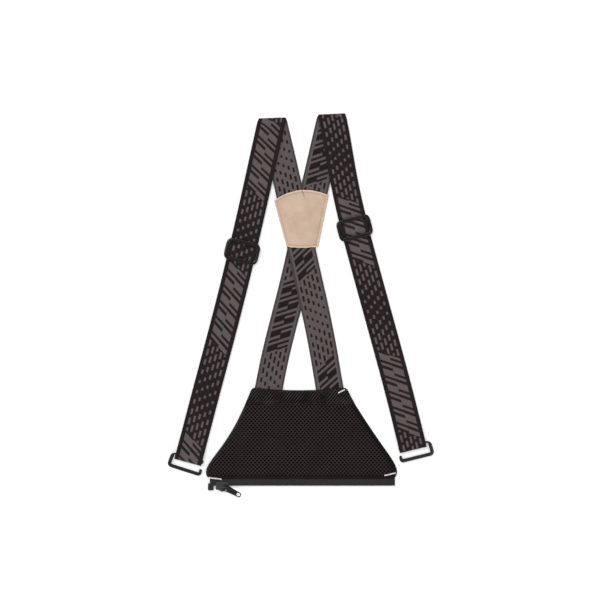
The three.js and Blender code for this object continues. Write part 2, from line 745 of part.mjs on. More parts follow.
function zipper() {
  const group = new THREE.Group();
  const { coilToX, toX, coilWidth, coilBottom, coilTop } = ZIPPER;
  const coilOuterY = coilInnerY - coilWidth;
  const sliderY = coilOuterY - SLIDER.beyondCoil;
  const topStop = box([coilToX + GAP, coilOuterY, coilBottom - GAP], [toX, coilInnerY, coilTop + GAP]);
  const slider = place('slider_place', new THREE.Vector3(SLIDER.x, sliderY, 0), 0);
  slider.add(named('zipper_slider', zipperSlider(), GREY_METAL));
  const pull = place('pull_place', new THREE.Vector3(SLIDER.x + SLIDER.bail.x, sliderY, PULL.z), PULL.yaw);
  pull.add(named('zipper_pull', zipperPull(), GREY_METAL));
  group.add(
    named('zipper_tape', zipperTape(), TAPE),
    named('zipper_coil', zipperCoil(), BLACK_PLASTIC),
    named('zipper_retainer_box', retainerBox(), BLACK_PLASTIC),
    named('zipper_top_stop', topStop, BLACK_PLASTIC),
    slider,
    pull,
  );
  return group;
}

// ---------------------------------------------------------------- the whole object

const model = new THREE.Group();
model.add(
  strapSide('left', SIDES.left),
  strapSide('right', SIDES.right),
  named('crossing_patch_front', patchPly([0, 0], PATCH.frontZ), LEATHER),
  named('crossing_patch_back', patchPly(PATCH.backShift, 0), LEATHER),
  backPanel(),
  zipper(),
);

// The origin is under the middle of the object, on the surface that it lies on.
const extent = new THREE.Box3().setFromObject(model, true);
const middle = extent.getCenter(new THREE.Vector3());
model.position.set(-middle.x, -middle.y, -extent.min.z);
model.updateMatrixWorld(true);

export default model;
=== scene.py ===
"""X-back suspenders with a padded, zip-on back panel, lying flat: the looks, built round the CAD frame.

Metres, +Z up, +Y from the back panel to the shoulders.
"""

import json
import math

import bmesh
import bpy
import numpy as np
from mathutils import Matrix, Vector
from mathutils.bvhtree import BVHTree


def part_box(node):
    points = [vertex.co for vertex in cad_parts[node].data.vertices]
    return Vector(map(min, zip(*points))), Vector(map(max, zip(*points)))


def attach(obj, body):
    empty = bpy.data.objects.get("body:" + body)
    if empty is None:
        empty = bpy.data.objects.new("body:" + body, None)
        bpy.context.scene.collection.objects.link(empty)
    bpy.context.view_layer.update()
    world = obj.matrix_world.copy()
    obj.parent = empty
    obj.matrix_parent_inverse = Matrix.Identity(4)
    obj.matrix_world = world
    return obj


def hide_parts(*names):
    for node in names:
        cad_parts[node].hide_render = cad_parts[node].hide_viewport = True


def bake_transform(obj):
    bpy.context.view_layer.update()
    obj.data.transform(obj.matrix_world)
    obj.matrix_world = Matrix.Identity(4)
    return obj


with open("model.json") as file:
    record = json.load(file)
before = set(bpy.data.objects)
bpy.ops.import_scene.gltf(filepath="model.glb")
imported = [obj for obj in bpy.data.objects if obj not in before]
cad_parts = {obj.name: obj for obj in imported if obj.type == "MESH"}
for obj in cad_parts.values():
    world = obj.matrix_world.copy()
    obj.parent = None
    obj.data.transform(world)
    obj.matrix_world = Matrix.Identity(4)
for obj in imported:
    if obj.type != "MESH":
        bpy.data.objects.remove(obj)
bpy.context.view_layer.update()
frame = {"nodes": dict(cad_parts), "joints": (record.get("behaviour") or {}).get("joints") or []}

MM = 0.001
UP = Vector((0, 0, 1))
SIDES = ("left", "right")
JOINTS = {joint["name"]: joint for joint in frame["joints"]}
measured = {}  # both ends of every edge, by CAD node


# ---------------------------------------------------------------- measuring the CAD nodes

def edge_ends(node):
    """Both ends of every edge of a CAD node."""
    if node not in measured:
        mesh = frame["nodes"][node].data
        co = np.array([v.co for v in mesh.vertices])
        pairs = np.array([e.vertices[:] for e in mesh.edges])
        measured[node] = (co[pairs[:, 0]], co[pairs[:, 1]])
    return measured[node]


def cut(node, normal, distance):
    """The points where a CAD node's edges cross the plane of that normal and distance."""
    start, end = edge_ends(node)
    from_plane = start @ np.array(normal) - distance
    to_plane = end @ np.array(normal) - distance
    crossing = from_plane * to_plane < 0
    share = from_plane[crossing] / (from_plane[crossing] - to_plane[crossing])
    return start[crossing] + (end - start)[crossing] * share[:, None]


def extent(node, direction):
    """The least and greatest distance of a CAD node along a direction."""
    along = edge_ends(node)[0] @ np.array(direction)
    return along.min(), along.max()


def half_extent(node, direction):
    """Half a CAD node's size along a direction."""
    low, high = extent(node, direction)
    return (high - low) / 2


def smoothstep(value, low, high):
    t = np.clip((np.asarray(value, float) - low) / (high - low), 0, 1)
    return t * t * (3 - 2 * t)


# ---------------------------------------------------------------- shader fields

class Field:
    """A number that varies over a surface. Arithmetic on it adds math nodes to its material."""

    def __init__(self, tree, socket):
        self.tree = tree
        self.socket = socket

    def math(self, operation, *others):
        node = self.tree.nodes.new("ShaderNodeMath")
        node.operation = operation
        for slot, value in zip(node.inputs, (self, *others)):
            if isinstance(value, Field):
                self.tree.links.new(value.socket, slot)
            else:
                slot.default_value = value
        return Field(self.tree, node.outputs[0])

    def __add__(self, other):
        return self.math("ADD", other)

    def __sub__(self, other):
        return self.math("SUBTRACT", other)

    def __mul__(self, other):
        return self.math("MULTIPLY", other)

    def __truediv__(self, other):
        return self.math("DIVIDE", other)

    def __abs__(self):
        return self.math("ABSOLUTE")

    def fract(self):
        return self.math("FRACT")

    def floor(self):
        return self.math("FLOOR")

    def sin(self):
        return self.math("SINE")

    def least(self, other):
        return self.math("MINIMUM", other)

    def most(self, other):
        return self.math("MAXIMUM", other)

    def ramp(self, low, high, to_low=0.0, to_high=1.0):
        """to_low at and below low, to_high at and above high, and even in between."""
        node = self.tree.nodes.new("ShaderNodeMapRange")
        self.tree.links.new(self.socket, node.inputs["Value"])
        for name, value in (("From Min", low), ("From Max", high), ("To Min", to_low), ("To Max", to_high)):
            if isinstance(value, Field):
                self.tree.links.new(value.socket, node.inputs[name])
            else:
                node.inputs[name].default_value = value
        return Field(self.tree, node.outputs[0])

    def below(self, limit, soft):
        """1 below the limit and 0 above it, with an edge as wide as soft."""
        return (self - limit).ramp(-soft / 2, soft / 2, 1.0, 0.0)


class Finish:
    """A procedural material: one Principled shader and what feeds it."""

    def __init__(self, name, roughness, specular=0.25, metallic=0.0, sheen=0.0, sheen_roughness=0.5):
        self.material = bpy.data.materials.new(name)
        self.material.use_nodes = True
        self.tree = self.material.node_tree
        self.shader = next(n for n in self.tree.nodes if n.type == "BSDF_PRINCIPLED")
        self.shader.inputs["Roughness"].default_value = roughness
        self.shader.inputs["Specular IOR Level"].default_value = specular
        self.shader.inputs["Metallic"].default_value = metallic
        self.shader.inputs["Sheen Weight"].default_value = sheen
        self.shader.inputs["Sheen Roughness"].default_value = sheen_roughness
        self.coordinates = self.tree.nodes.new("ShaderNodeTexCoord")

    def split(self, output):
        """Three fields, one for each axis of a texture coordinate."""
        node = self.tree.nodes.new("ShaderNodeSeparateXYZ")
        self.tree.links.new(self.coordinates.outputs[output], node.inputs[0])
        return [Field(self.tree, s) for s in node.outputs]

    def attribute(self, name):
        node = self.tree.nodes.new("ShaderNodeAttribute")
        node.attribute_name = name
        return Field(self.tree, node.outputs["Fac"])

    def noise(self, scale, detail=3.0, output="Object", stretch=(1, 1, 1)):
        mapping = self.tree.nodes.new("ShaderNodeMapping")
        mapping.inputs["Scale"].default_value = [scale * s for s in stretch]
        self.tree.links.new(self.coordinates.outputs[output], mapping.inputs["Vector"])
        node = self.tree.nodes.new("ShaderNodeTexNoise")
        node.inputs["Scale"].default_value = 1.0
        node.inputs["Detail"].default_value = detail
        self.tree.links.new(mapping.outputs[0], node.inputs["Vector"])
        return Field(self.tree, node.outputs[0])

    def blend(self, amount, first, second):
        """A colour field: first where amount is 0, and second where it is 1."""
        node = self.tree.nodes.new("ShaderNodeMix")
        node.data_type = "RGBA"
        self.tree.links.new(amount.socket, node.inputs["Factor"])
        for slot, colour in ((node.inputs["A"], first), (node.inputs["B"], second)):
            colour_slot = next(s for s in node.inputs if s.identifier == f"{slot.name}_Color")
            if isinstance(colour, Field):
                self.tree.links.new(colour.socket, colour_slot)
            else:
                colour_slot.default_value = (*colour, 1)
        return Field(self.tree, next(s for s in node.outputs if s.identifier == "Result_Color"))

    def colour(self, field):
        self.tree.links.new(field.socket, self.shader.inputs["Base Color"])
        return self

    def rough(self, field):
        self.tree.links.new(field.socket, self.shader.inputs["Roughness"])
        return self

    def relief(self, height, distance, strength=1.0):
        """Bump from a height field of 0 to 1, distance metres deep."""
        node = self.tree.nodes.new("ShaderNodeBump")
        node.inputs["Distance"].default_value = distance
        node.inputs["Strength"].default_value = strength
        self.tree.links.new(height.socket, node.inputs["Height"])
        self.tree.links.new(node.outputs[0], self.shader.inputs["Normal"])
        return self


# ---------------------------------------------------------------- materials

DARK_YARN = (0.0175, 0.0113, 0.0107)
GREY_YARN = (0.1240, 0.1010, 0.0980)
FRONT_SELVEDGE = (0.0150, 0.0120, 0.0115)
REVERSE_GROUND = (0.117, 0.097, 0.094)
REVERSE_FIGURE = (0.0150, 0.0092, 0.0088)
REVERSE_SELVEDGE = (0.064, 0.054, 0.052)
REPEAT = 237 * MM  # one motif and one field of dashes along the webbing
MOTIF_LENGTH = 108 * MM
SLANT = 0.62


def slanted_bars(across, along):
    """The motif's bars: broad and narrow ones in turn, in two rows staggered about the middle."""
    pitch = 21.6 * MM
    row = across.ramp(-0.1 * MM, 0.1 * MM)
    place = ((along + row * (0.36 * pitch)) / pitch).fract()
    broad = abs(place - 0.30).below(0.225, 0.03)
    narrow = abs(place - 0.785).below(0.09, 0.03)
    return broad.most(narrow) * abs(across).below(14 * MM, 0.5 * MM)


def dash_field(across, along, zone):
    """Five columns of staggered dashes that are long near the motif and short half way."""
    column_pitch = 6.5 * MM
    dash_pitch = 13.6 * MM
    stagger = 0.33
    column = (across / column_pitch + 0.5).floor()
    aside = abs(across - column * column_pitch)
    phase = (along / dash_pitch + column * stagger).fract() - 0.5
    middle = (REPEAT + MOTIF_LENGTH) / 2
    reach = (REPEAT - MOTIF_LENGTH) / 2
    half_length = (abs(zone - middle) / reach).ramp(0.08, 0.7, 1.9 * MM, 4.6 * MM)
    on = aside.below(1.5 * MM, 0.6 * MM) * (abs(phase) * dash_pitch - half_length).below(0, 0.6 * MM)
    return on * abs(column).below(2.5, 0.1) * abs(zone - middle).below(reach - 1.5 * MM, 1 * MM)


def webbing(name, ground, figure, edge):
    finish = Finish(name, roughness=0.92, specular=0.12, sheen=0.06)
    across, along, _ = finish.split("UV")
    zone = ((along - across * SLANT) / REPEAT).fract() * REPEAT
    in_motif = zone.below(MOTIF_LENGTH, 0.5 * MM)
    pattern = (slanted_bars(across, zone) * in_motif).most(dash_field(across, along, zone))
    rib_pitch, pick_pitch = 0.8 * MM, 1.0 * MM
    rib = (across * (math.pi / rib_pitch)).sin()
    pick = ((along + rib.ramp(-0.1, 0.1) * (pick_pitch / 2)) * (math.pi / pick_pitch)).sin()
    weave = abs(rib).math("POWER", 0.6) * (abs(pick) * 0.5 + 0.5)
    selvedge = abs(across).below(17.2 * MM, 1.0 * MM) * -1 + 1
    # painted shade in the hollows of the weave, deeper in some patches than in others
    patchy_shade = finish.noise(60, 3, "UV") * 0.35 + 0.82
    yarn = finish.blend(pattern, ground, figure)
    yarn = finish.blend(selvedge, yarn, edge)
    shade = finish.blend(weave.ramp(0.1, 0.8, 1.0, 0.0) * 0.45 * patchy_shade, yarn, (0.004, 0.003, 0.003))
    finish.colour(shade)
    finish.relief(weave + pattern * 0.5 + selvedge * 0.4, 0.18 * MM, 0.8)
    return finish.material


def moulded(name, colour, roughness, specular=0.35, metallic=0.0):
    """Moulded plastic or coated metal: faint mottling, and a fine satin grain."""
    finish = Finish(name, roughness, specular, metallic)
    cloud = finish.noise(180, 4)
    grain = finish.noise(2600, 2)
    darker = tuple(c * 0.6 for c in colour)
    lighter = tuple(c * 1.35 for c in colour)
    finish.colour(finish.blend(cloud, darker, lighter))
    finish.rough(cloud * 0.2 + (roughness - 0.1))
    finish.relief(grain + cloud * 2, 0.05 * MM, 0.5)
    return finish.material


SEAM_INSET = 3.6 * MM  # of the crossing patch's seam from its edge


def suede():
    finish = Finish("suede", roughness=0.95, specular=0.1, sheen=0.25, sheen_roughness=0.6)
    rim = finish.attribute("rim").below(1.1 * MM, 0.7 * MM)
    # crease: where painted shade goes along the groove of the seam, SEAM_INSET in from the edge
    crease = abs(finish.attribute("rim") - SEAM_INSET).below(0.35 * MM, 0.5 * MM)
    nap = finish.noise(900, 5)
    patchy = finish.noise(70, 4)
    fleck = finish.noise(2500, 2)
    base = finish.blend(patchy.ramp(0.3, 0.7), (0.530, 0.384, 0.285), (0.622, 0.470, 0.356))
    base = finish.blend(nap.ramp(0.35, 0.75) * 0.35, base, (0.400, 0.270, 0.200))
    # painted shade in the crease that runs down from the middle of the top edge (the fold attribute)
    base = finish.blend(finish.attribute("fold") * 0.8, base, (0.190, 0.120, 0.085))
    # painted shade in the seam's groove
    base = finish.blend(crease * 0.5, base, (0.190, 0.120, 0.085))
    finish.colour(finish.blend(rim * 0.9, base, (0.760, 0.570, 0.460)))
    finish.relief(nap * 0.7 + fleck * 0.3, 0.25 * MM, 0.6)
    return finish.material


HEM_RIB = 4.4 * MM  # between ribs, across the hem
HOLE_PITCH = 5.5 * MM  # across the panel
HOLE_ROW = 3.0 * MM  # between staggered rows
HOLE_RADIUS = 1.5 * MM
FOOT_OVERHANG = 2.5 * MM  # of the air mesh over the zipper tape


def hole_distance(finish):
    """How far each point of the panel is, in plan, from the nearest hole of the air mesh."""
    x, y, _ = finish.split("Object")
    nearest = None
    for shift in (0, 0.5):
        from_x = ((x / HOLE_PITCH + shift).fract() - 0.5) * HOLE_PITCH
        from_y = ((y / (2 * HOLE_ROW) + shift).fract() - 0.5) * (2 * HOLE_ROW)
        distance = (from_x * from_x * 0.8 + from_y * from_y * 1.1).math("SQRT")
        nearest = distance if nearest is None else nearest.least(distance)
    return nearest


def air_mesh():
    finish = Finish("air_mesh", roughness=0.85, specular=0.03)
    rim = finish.attribute("rim")
    hole = hole_distance(finish).below(HOLE_RADIUS, 0.9 * MM) * rim.ramp(1.5 * MM, 4.5 * MM)
    x, y, _ = finish.split("Object")
    knit = abs(((x + y) * (math.pi / (0.9 * MM))).sin()) * abs(((x - y) * (math.pi / (0.9 * MM))).sin())
    yarn = finish.blend(knit, (0.0110, 0.0086, 0.0080), (0.076, 0.062, 0.058))
    cloud = finish.noise(35, 3)
    yarn = finish.blend(cloud.ramp(0.35, 0.7) * 0.35, yarn, (0.020, 0.017, 0.016))
    # painted shade where the mesh rounds down over the pad: near its foot, and wider along its right edge
    edge_shade = finish.attribute("edge_shade").ramp(2 * MM, 7 * MM, 0.75, 0.0)
    yarn = finish.blend(edge_shade, yarn, (0.0060, 0.0048, 0.0045))
    # the holes, shallow dimples in the geometry, are painted near black: painted shade in their depth
    finish.colour(finish.blend(hole, yarn, (0.0012, 0.0007, 0.0006)))
    finish.relief(knit * 0.4 - hole, 0.3 * MM, 0.7)
    return finish.material


def hem_cloth():
    """The air mesh where it is folded and drawn tight: slanting ribs with its holes squeezed between them."""
    finish = Finish("hem_cloth", roughness=0.9, specular=0.04)
    x, y, _ = finish.split("Object")
    rib = abs(((x - y * 0.8) * (math.pi / HEM_RIB)).sin()).ramp(0.55, 1.0)
    squeezed = hole_distance(finish).below(HOLE_RADIUS, 1.2 * MM) * 0.6
    cloud = finish.noise(45, 3).ramp(0.35, 0.65, 0.35, 1.0)
    cloth = finish.blend(rib * cloud, (0.0050, 0.0038, 0.0036), (0.066, 0.054, 0.051))
    # the squeezed holes are painted near black: painted shade in their depth
    finish.colour(finish.blend(squeezed, cloth, (0.0012, 0.0007, 0.0006)))
    finish.relief(rib - squeezed, 0.3 * MM, 0.7)
    return finish.material


def plain_weave(name, warp, weft, pitch, diagonal=0.0):
    """A plain weave, or a twill whose floats step sideways by that share of their length."""
    finish = Finish(name, roughness=0.9, specular=0.04, sheen=0.02)
    x, y, _ = finish.split("Object")
    over = abs(((x + y * diagonal) * (math.pi / pitch)).sin())
    under = abs((y * (math.pi / pitch)).sin())
    mix = over.ramp(0.2, 0.9) if diagonal else (over * under)
    finish.colour(finish.blend(mix, warp, weft))
    finish.relief(mix + finish.noise(1500, 2) * 0.3, 0.15 * MM, 0.7)
    return finish.material


def thread(name, dark, light):
    finish = Finish(name, roughness=0.7, specular=0.3, sheen=0.1)
    x, y, z = finish.split("Object")
    twist = abs(((x + y * 1.7 + z) * (math.pi / (0.5 * MM))).sin())
    finish.colour(finish.blend(twist, dark, light))
    finish.relief(twist, 0.1 * MM, 0.6)
    return finish.material


MATERIALS = {
    "front": webbing("webbing_front", DARK_YARN, GREY_YARN, FRONT_SELVEDGE),
    "reverse": webbing("webbing_reverse", REVERSE_GROUND, REVERSE_FIGURE, REVERSE_SELVEDGE),
    "plastic": moulded("black_plastic", (0.0070, 0.0046, 0.0036), 0.22, 0.45),
    "hook": moulded("coated_steel", (0.0085, 0.0088, 0.0082), 0.32, 0.42),
    "slider": moulded("grey_coated_metal", (0.047, 0.042, 0.037), 0.42, 0.35),
    "zip_plastic": moulded("zipper_plastic", (0.018, 0.017, 0.016), 0.5, 0.25),
    "suede": suede(),
    "air_mesh": air_mesh(),
    "hem": hem_cloth(),
    "lining": plain_weave("lining", (0.010, 0.009, 0.009), (0.026, 0.023, 0.022), 0.6 * MM),
    "tape": plain_weave("zipper_tape", (0.018, 0.016, 0.0145), (0.042, 0.037, 0.033), 0.7 * MM, diagonal=0.8),
    "foam": moulded("foam", (0.03, 0.03, 0.032), 1.0, 0.05),
    "white_thread": thread("white_thread", (0.60, 0.55, 0.53), (0.95, 0.91, 0.89)),
    "black_thread": thread("black_thread", (0.006, 0.005, 0.005), (0.030, 0.027, 0.026)),
    "tan_thread": thread("tan_thread", (0.42, 0.30, 0.23), (0.66, 0.50, 0.40)),
}


# ---------------------------------------------------------------- making meshes

def new_piece(name, points, faces, materials):
    """A smooth mesh object of those points and faces."""
    mesh = bpy.data.meshes.new(name)
    mesh.from_pydata([tuple(p) for p in points], [], faces)
    for key in materials:
        mesh.materials.append(MATERIALS[key])
    mesh.polygons.foreach_set("use_smooth", [True] * len(mesh.polygons))
    mesh.update()
    obj = bpy.data.objects.new(name, mesh)
    bpy.context.scene.collection.objects.link(obj)
    return obj


def face_outward(obj):
    bm = bmesh.new()
    bm.from_mesh(obj.data)
    bmesh.ops.recalc_face_normals(bm, faces=bm.faces)
    bm.to_mesh(obj.data)
    bm.free()
    return obj


def apply_modifiers(obj):
    """Turns what the modifiers make into the object's own mesh."""
    depsgraph = bpy.context.evaluated_depsgraph_get()
    mesh = bpy.data.meshes.new_from_object(obj.evaluated_get(depsgraph))
    obj.modifiers.clear()
    obj.data = mesh
    return obj


def grid_faces(rows, columns, closed=False):
    """Quads between rows of points; closed joins each row's ends."""
    last = columns if closed else columns - 1
    return [
        (i * columns + j, i * columns + (j + 1) % columns,
         (i + 1) * columns + (j + 1) % columns, (i + 1) * columns + j)
        for i in range(rows - 1)
        for j in range(last)
    ]


def sheet_mesh(name, points, thickness, materials):
    """A closed sheet whose top follows a grid of points, and whose bottom lies thickness below."""
    rows, columns = points.shape[:2]
    top = points.reshape(-1, 3)
    bottom = top - np.array([0, 0, thickness])
    count = rows * columns
    faces = grid_faces(rows, columns)
    under = [tuple(reversed([count + k for k in face])) for face in faces]
    rim = [i * columns for i in range(rows)]
    rim += [(rows - 1) * columns + j for j in range(1, columns)]
    rim += [i * columns + columns - 1 for i in range(rows - 2, -1, -1)]
    rim += list(range(columns - 2, 0, -1))
    sides = [(rim[k - 1], rim[k], count + rim[k], count + rim[k - 1]) for k in range(len(rim))]
    return face_outward(new_piece(name, np.vstack([top, bottom]), faces + under + sides, materials))


def sweep(name, path, half_width, half_height, material, sides=16, power=1.0, closed=False, up=UP):
    """A bar along a path. Its section is an ellipse, or squarer where power is below 1."""
    path = np.array(path, float)
    count = len(path)
    ahead = np.roll(path, -1, 0) if closed else np.vstack([path[1:], path[-1:]])
    behind = np.roll(path, 1, 0) if closed else np.vstack([path[:1], path[:-1]])
    tangent = ahead - behind
    tangent /= np.linalg.norm(tangent, axis=1)[:, None]
    aside = np.cross(tangent, np.array(up))
    aside /= np.linalg.norm(aside, axis=1)[:, None]
    over = np.cross(aside, tangent)
    angles = np.arange(sides) / sides * 2 * math.pi
    wide = np.sign(np.cos(angles)) * np.abs(np.cos(angles)) ** power
    high = np.sign(np.sin(angles)) * np.abs(np.sin(angles)) ** power
    half_width = np.broadcast_to(half_width, count)
    half_height = np.broadcast_to(half_height, count)
    rings = (
        path[:, None]
        + aside[:, None] * (half_width[:, None] * wide)[:, :, None]
        + over[:, None] * (half_height[:, None] * high)[:, :, None]
    )
    faces = grid_faces(count, sides, closed=True)
    if closed:
        last = (count - 1) * sides
        faces += [(last + j, last + (j + 1) % sides, (j + 1) % sides, j) for j in range(sides)]
    else:
        faces += [tuple(range(sides)), tuple(range((count - 1) * sides, count * sides))]
    return face_outward(new_piece(name, rings.reshape(-1, 3), faces, [material]))


def round_ends(half, distances, radius):
    """Half sizes along a bar, drawn in to round ends. distances are along it."""
    distances = np.asarray(distances, float)
    from_end = np.minimum(distances - distances[0], distances[-1] - distances)
    inward = np.clip(1 - from_end / radius, 0, 1)
    return half * np.sqrt(np.clip(1 - inward ** 2, 0.02, 1))


def lengths(path):
    """Distance along a path at each of its points."""
    steps = np.linalg.norm(np.diff(np.asarray(path, float), axis=0), axis=1)
    return np.concatenate([[0], np.cumsum(steps)])


def resampled(path, count):
    """The same path with its points evenly spaced."""
    path = np.asarray(path, float)
    along = lengths(path)
    even = np.linspace(0, along[-1], count)
    return np.stack([np.interp(even, along, path[:, k]) for k in range(path.shape[1])], 1)


def rounded_corners(points, radius, closed=False, steps=6):
    """A path through corner points, each corner rounded."""
    points = [np.array(p, float) for p in points]
    made = []
    for i, corner in enumerate(points):
        if not closed and i in (0, len(points) - 1):
            made.append(corner)
            continue
        before = points[i - 1] - corner
        after = points[(i + 1) % len(points)] - corner
        reach = min(radius, 0.45 * np.linalg.norm(before), 0.45 * np.linalg.norm(after))
        start = corner + before / np.linalg.norm(before) * reach
        end = corner + after / np.linalg.norm(after) * reach
        for t in np.linspace(0, 1, steps + 1):
            made.append(start * (1 - t) ** 2 + corner * 2 * t * (1 - t) + end * t ** 2)
    return np.array(made)


def plate(name, outlines, bottom, top, bevel, material):
    """A flat plate with bevelled edges. The first outline is its edge and the others are holes."""
    curve = bpy.data.curves.new(name, "CURVE")
    curve.dimensions = "2D"
    curve.fill_mode = "BOTH"
    curve.extrude = (top - bottom) / 2 - bevel
    curve.bevel_depth = bevel
    curve.bevel_resolution = 2
    curve.offset = -bevel
    for outline in outlines:
        spline = curve.splines.new("POLY")
        spline.points.add(len(outline) - 1)
        for point, (x, y) in zip(spline.points, outline):
            point.co = (x, y, 0, 1)
        spline.use_cyclic_u = True
    holder = bpy.data.objects.new(name, curve)
    bpy.context.scene.collection.objects.link(holder)
    bpy.context.view_layer.update()
    mesh = bpy.data.meshes.new_from_object(holder.evaluated_get(bpy.context.evaluated_depsgraph_get()))
    bpy.data.objects.remove(holder)
    mesh.transform(Matrix.Translation((0, 0, (top + bottom) / 2)))
    mesh.materials.clear()
    mesh.materials.append(MATERIALS[material])
    bm = bmesh.new()
    bm.from_mesh(mesh)
    bmesh.ops.remove_doubles(bm, verts=bm.verts, dist=1e-6)
    bm.to_mesh(mesh)
    bm.free()
    obj = bpy.data.objects.new(name, mesh)
    bpy.context.scene.collection.objects.link(obj)
    return obj


def fused(name, parts, voxel, smoothing, material):
    """Parts cast as one: joined into a single skin with soft inner corners."""
    bm = bmesh.new()
    for part in parts:
        bm.from_mesh(part.data)
        bpy.data.objects.remove(part)
    mesh = bpy.data.meshes.new(name)
    bm.to_mesh(mesh)
    bm.free()
    obj = bpy.data.objects.new(name, mesh)
    bpy.context.scene.collection.objects.link(obj)
    remesh = obj.modifiers.new("skin", "REMESH")
    remesh.mode = "VOXEL"
    remesh.voxel_size = voxel
    smooth = obj.modifiers.new("soften", "SMOOTH")
    smooth.iterations = smoothing
    smooth.factor = 0.5
    apply_modifiers(obj)
    obj.data.materials.clear()
    obj.data.materials.append(MATERIALS[material])
    obj.data.polygons.foreach_set("use_smooth", [True] * len(obj.data.polygons))
    obj.data.update()
    return obj


def placed(obj, matrix):
    """Puts a piece that was made about the origin in its place, in its vertices."""
    obj.data.transform(matrix)
    obj.data.update()
    return obj


def stand_in(obj, slot, *nodes, body=None):
    """Shows a piece in place of CAD nodes, and rigid on a body if one is given. slot is not used."""
    if body:
        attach(obj, body)
    if nodes:
        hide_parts(*nodes)
    return obj


def place_matrix(origin, x_axis):
    """The frame with that origin and X axis, and Z up."""
    x = Vector(x_axis).normalized()
    y = UP.cross(x)
    matrix = Matrix((x, y, UP)).transposed().to_4x4()
    matrix.translation = Vector(origin)
    return matrix


# ---------------------------------------------------------------- webbing

WEB_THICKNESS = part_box("left_strap_tail")[1].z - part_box("left_strap_tail")[0].z
WEB_HALF = 20 * MM
SQUARE_AFTER = 20 * MM  # distance from the fold where a strap's section is square to it
MOTIF_START = {"left": 4 * MM, "right": -110 * MM}  # along the webbing, from the shoulder fold
SEWN_END = {"falls_from": 2.3 * MM, "sewn_from": 6.0 * MM, "end": 7.6 * MM, "height": 2.5 * MM}
PAST_BAR = 8 * MM  # how far the front line is followed past the hook's bar
REAR_HIDDEN = 2 * MM  # of the rear strap's end
RIPPLE = 0.22 * MM  # of the long runs
CLEAR_OF_REAR = WEB_THICKNESS + 0.25 * MM  # the front run's height, above the rear run
UPPER_MARGIN = 12 * MM  # at both ends of the front run
LOWER_MARGINS = (16 * MM, 40 * MM)  # the same below the adjuster and above the hook
FOLD_RADIUS = (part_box("left_shoulder_bend")[1].z - WEB_THICKNESS) / 2
FOLD_QUARTER = FOLD_RADIUS * math.pi / 2
REAR_SHIFT = {"left": 0.0, "right": -8 * MM}  # the elastic's slack behind the shoulder
REAR_STRETCH = {"left": 0.0, "right": 12.5 * MM}  # how much it is drawn out under the crossing patch
LET_THROUGH = 19 * MM  # webbing taken up where the strap passes the adjuster
STRETCH_BELOW = 1.08  # how far the elastic is stretched below the adjuster
FOLD_PINCH = 0.03  # how much narrower the webbing is where the fold begins, and again at its middle


class StrapLine:
    """A strap's centre line in plan, by distance from its shoulder fold, fitted through its CAD nodes."""

    def __init__(self, side, nodes, end_y, end_node=None):
        fold = JOINTS[f"{side}_shoulder_fold"]
        self.fold_axis = -np.array(fold["axis"])
        fold_x, fold_y = fold["pos_m"][:2]
        skipped = WEB_HALF * 0.4
        found = [(fold_x, fold_y)]
        for node in nodes:
            low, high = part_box(node)
            for y in np.arange(low.y + skipped, high.y - skipped, 3 * MM):
                xs = cut(node, (0, 1, 0), y)[:, 0]
                found.append(((xs.min() + xs.max()) / 2, y))
        if end_node:
            ahead = np.array(JOINTS[f"{side}_loop_follow"]["axis"])
            aside = np.cross(ahead, np.array(UP))
            middle = ahead * sum(extent(end_node, ahead)) / 2 + aside * sum(extent(end_node, aside)) / 2
            found += [tuple((middle + ahead * step)[:2]) for step in np.linspace(-8, 8, 7) * MM]
        xs, ys = np.array(found).T
        curve = np.polynomial.Polynomial.fit(ys, xs, 7)
        self.y = np.linspace(fold_y, end_y, 800)
        self.x = curve(self.y)
        self.s = lengths(np.stack([self.x, self.y], 1))
        self.length = self.s[-1]

    def distance(self, point):
        """The distance along the strap that is nearest to a point."""
        return self.s[np.argmin(np.hypot(self.x - point[0], self.y - point[1]))]

    def point(self, s):
        return np.stack([np.interp(s, self.s, self.x), np.interp(s, self.s, self.y), 0 * np.asarray(s)], -1)

    def tangent(self, s):
        step = 2 * MM
        ahead = np.clip(s + step, 0, self.length)
        behind = np.clip(s - step, 0, self.length)
        t = self.point(ahead) - self.point(behind)
        return t / np.linalg.norm(t, axis=-1)[..., None]

    def half_width(self, s):
        """From the centre line to the right edge: along the fold at the shoulder, square to it elsewhere."""
        t = self.tangent(s)
        square = np.stack([-t[..., 1], t[..., 0], 0 * t[..., 0]], -1)
        squareness = smoothstep(s, 0, SQUARE_AFTER)[..., None]
        direction = self.fold_axis * (1 - squareness) + square * squareness
        pinch = 1 - FOLD_PINCH * (1 - smoothstep(s, 0, 4 * MM))
        return direction * (pinch * WEB_HALF / np.sum(direction * square, -1))[..., None]


def evened(heights):
    """Each height as the mean of the five about it."""
    return np.convolve(np.pad(heights, 2, mode="edge"), np.ones(5) / 5, "valid")


def lower_height(node, line, skipped=1 * MM):
    """The height of a CAD strap's lower face, as a function of distance along its line."""
    low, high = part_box(node)
    ys = np.arange(high.y - skipped, low.y + skipped, -2 * MM)
    heights = np.array([cut(node, (0, 1, 0), y)[:, 2].min() for y in ys])
    distances = np.interp(-ys, -line.y, line.s)
    return lambda s: np.interp(s, distances, evened(heights))


def web_section(across=12, turns=5):
    """The webbing's section, as shares of its half width and half thickness, and its first lower point."""
    edge = WEB_THICKNESS / 2 / WEB_HALF
    flat = np.linspace(-1 + edge, 1 - edge, across + 1)
    angle = np.linspace(math.pi / 2, -math.pi / 2, turns + 2)[1:-1]
    right = np.stack([1 - edge + edge * np.cos(angle), np.sin(angle)], 1)
    left = right[::-1] * (-1, 1)
    top = np.stack([flat, np.ones_like(flat)], 1)
    bottom = np.stack([flat[::-1], -np.ones_like(flat)], 1)
    return np.vstack([top, right, bottom, left]), across + 1 + turns // 2


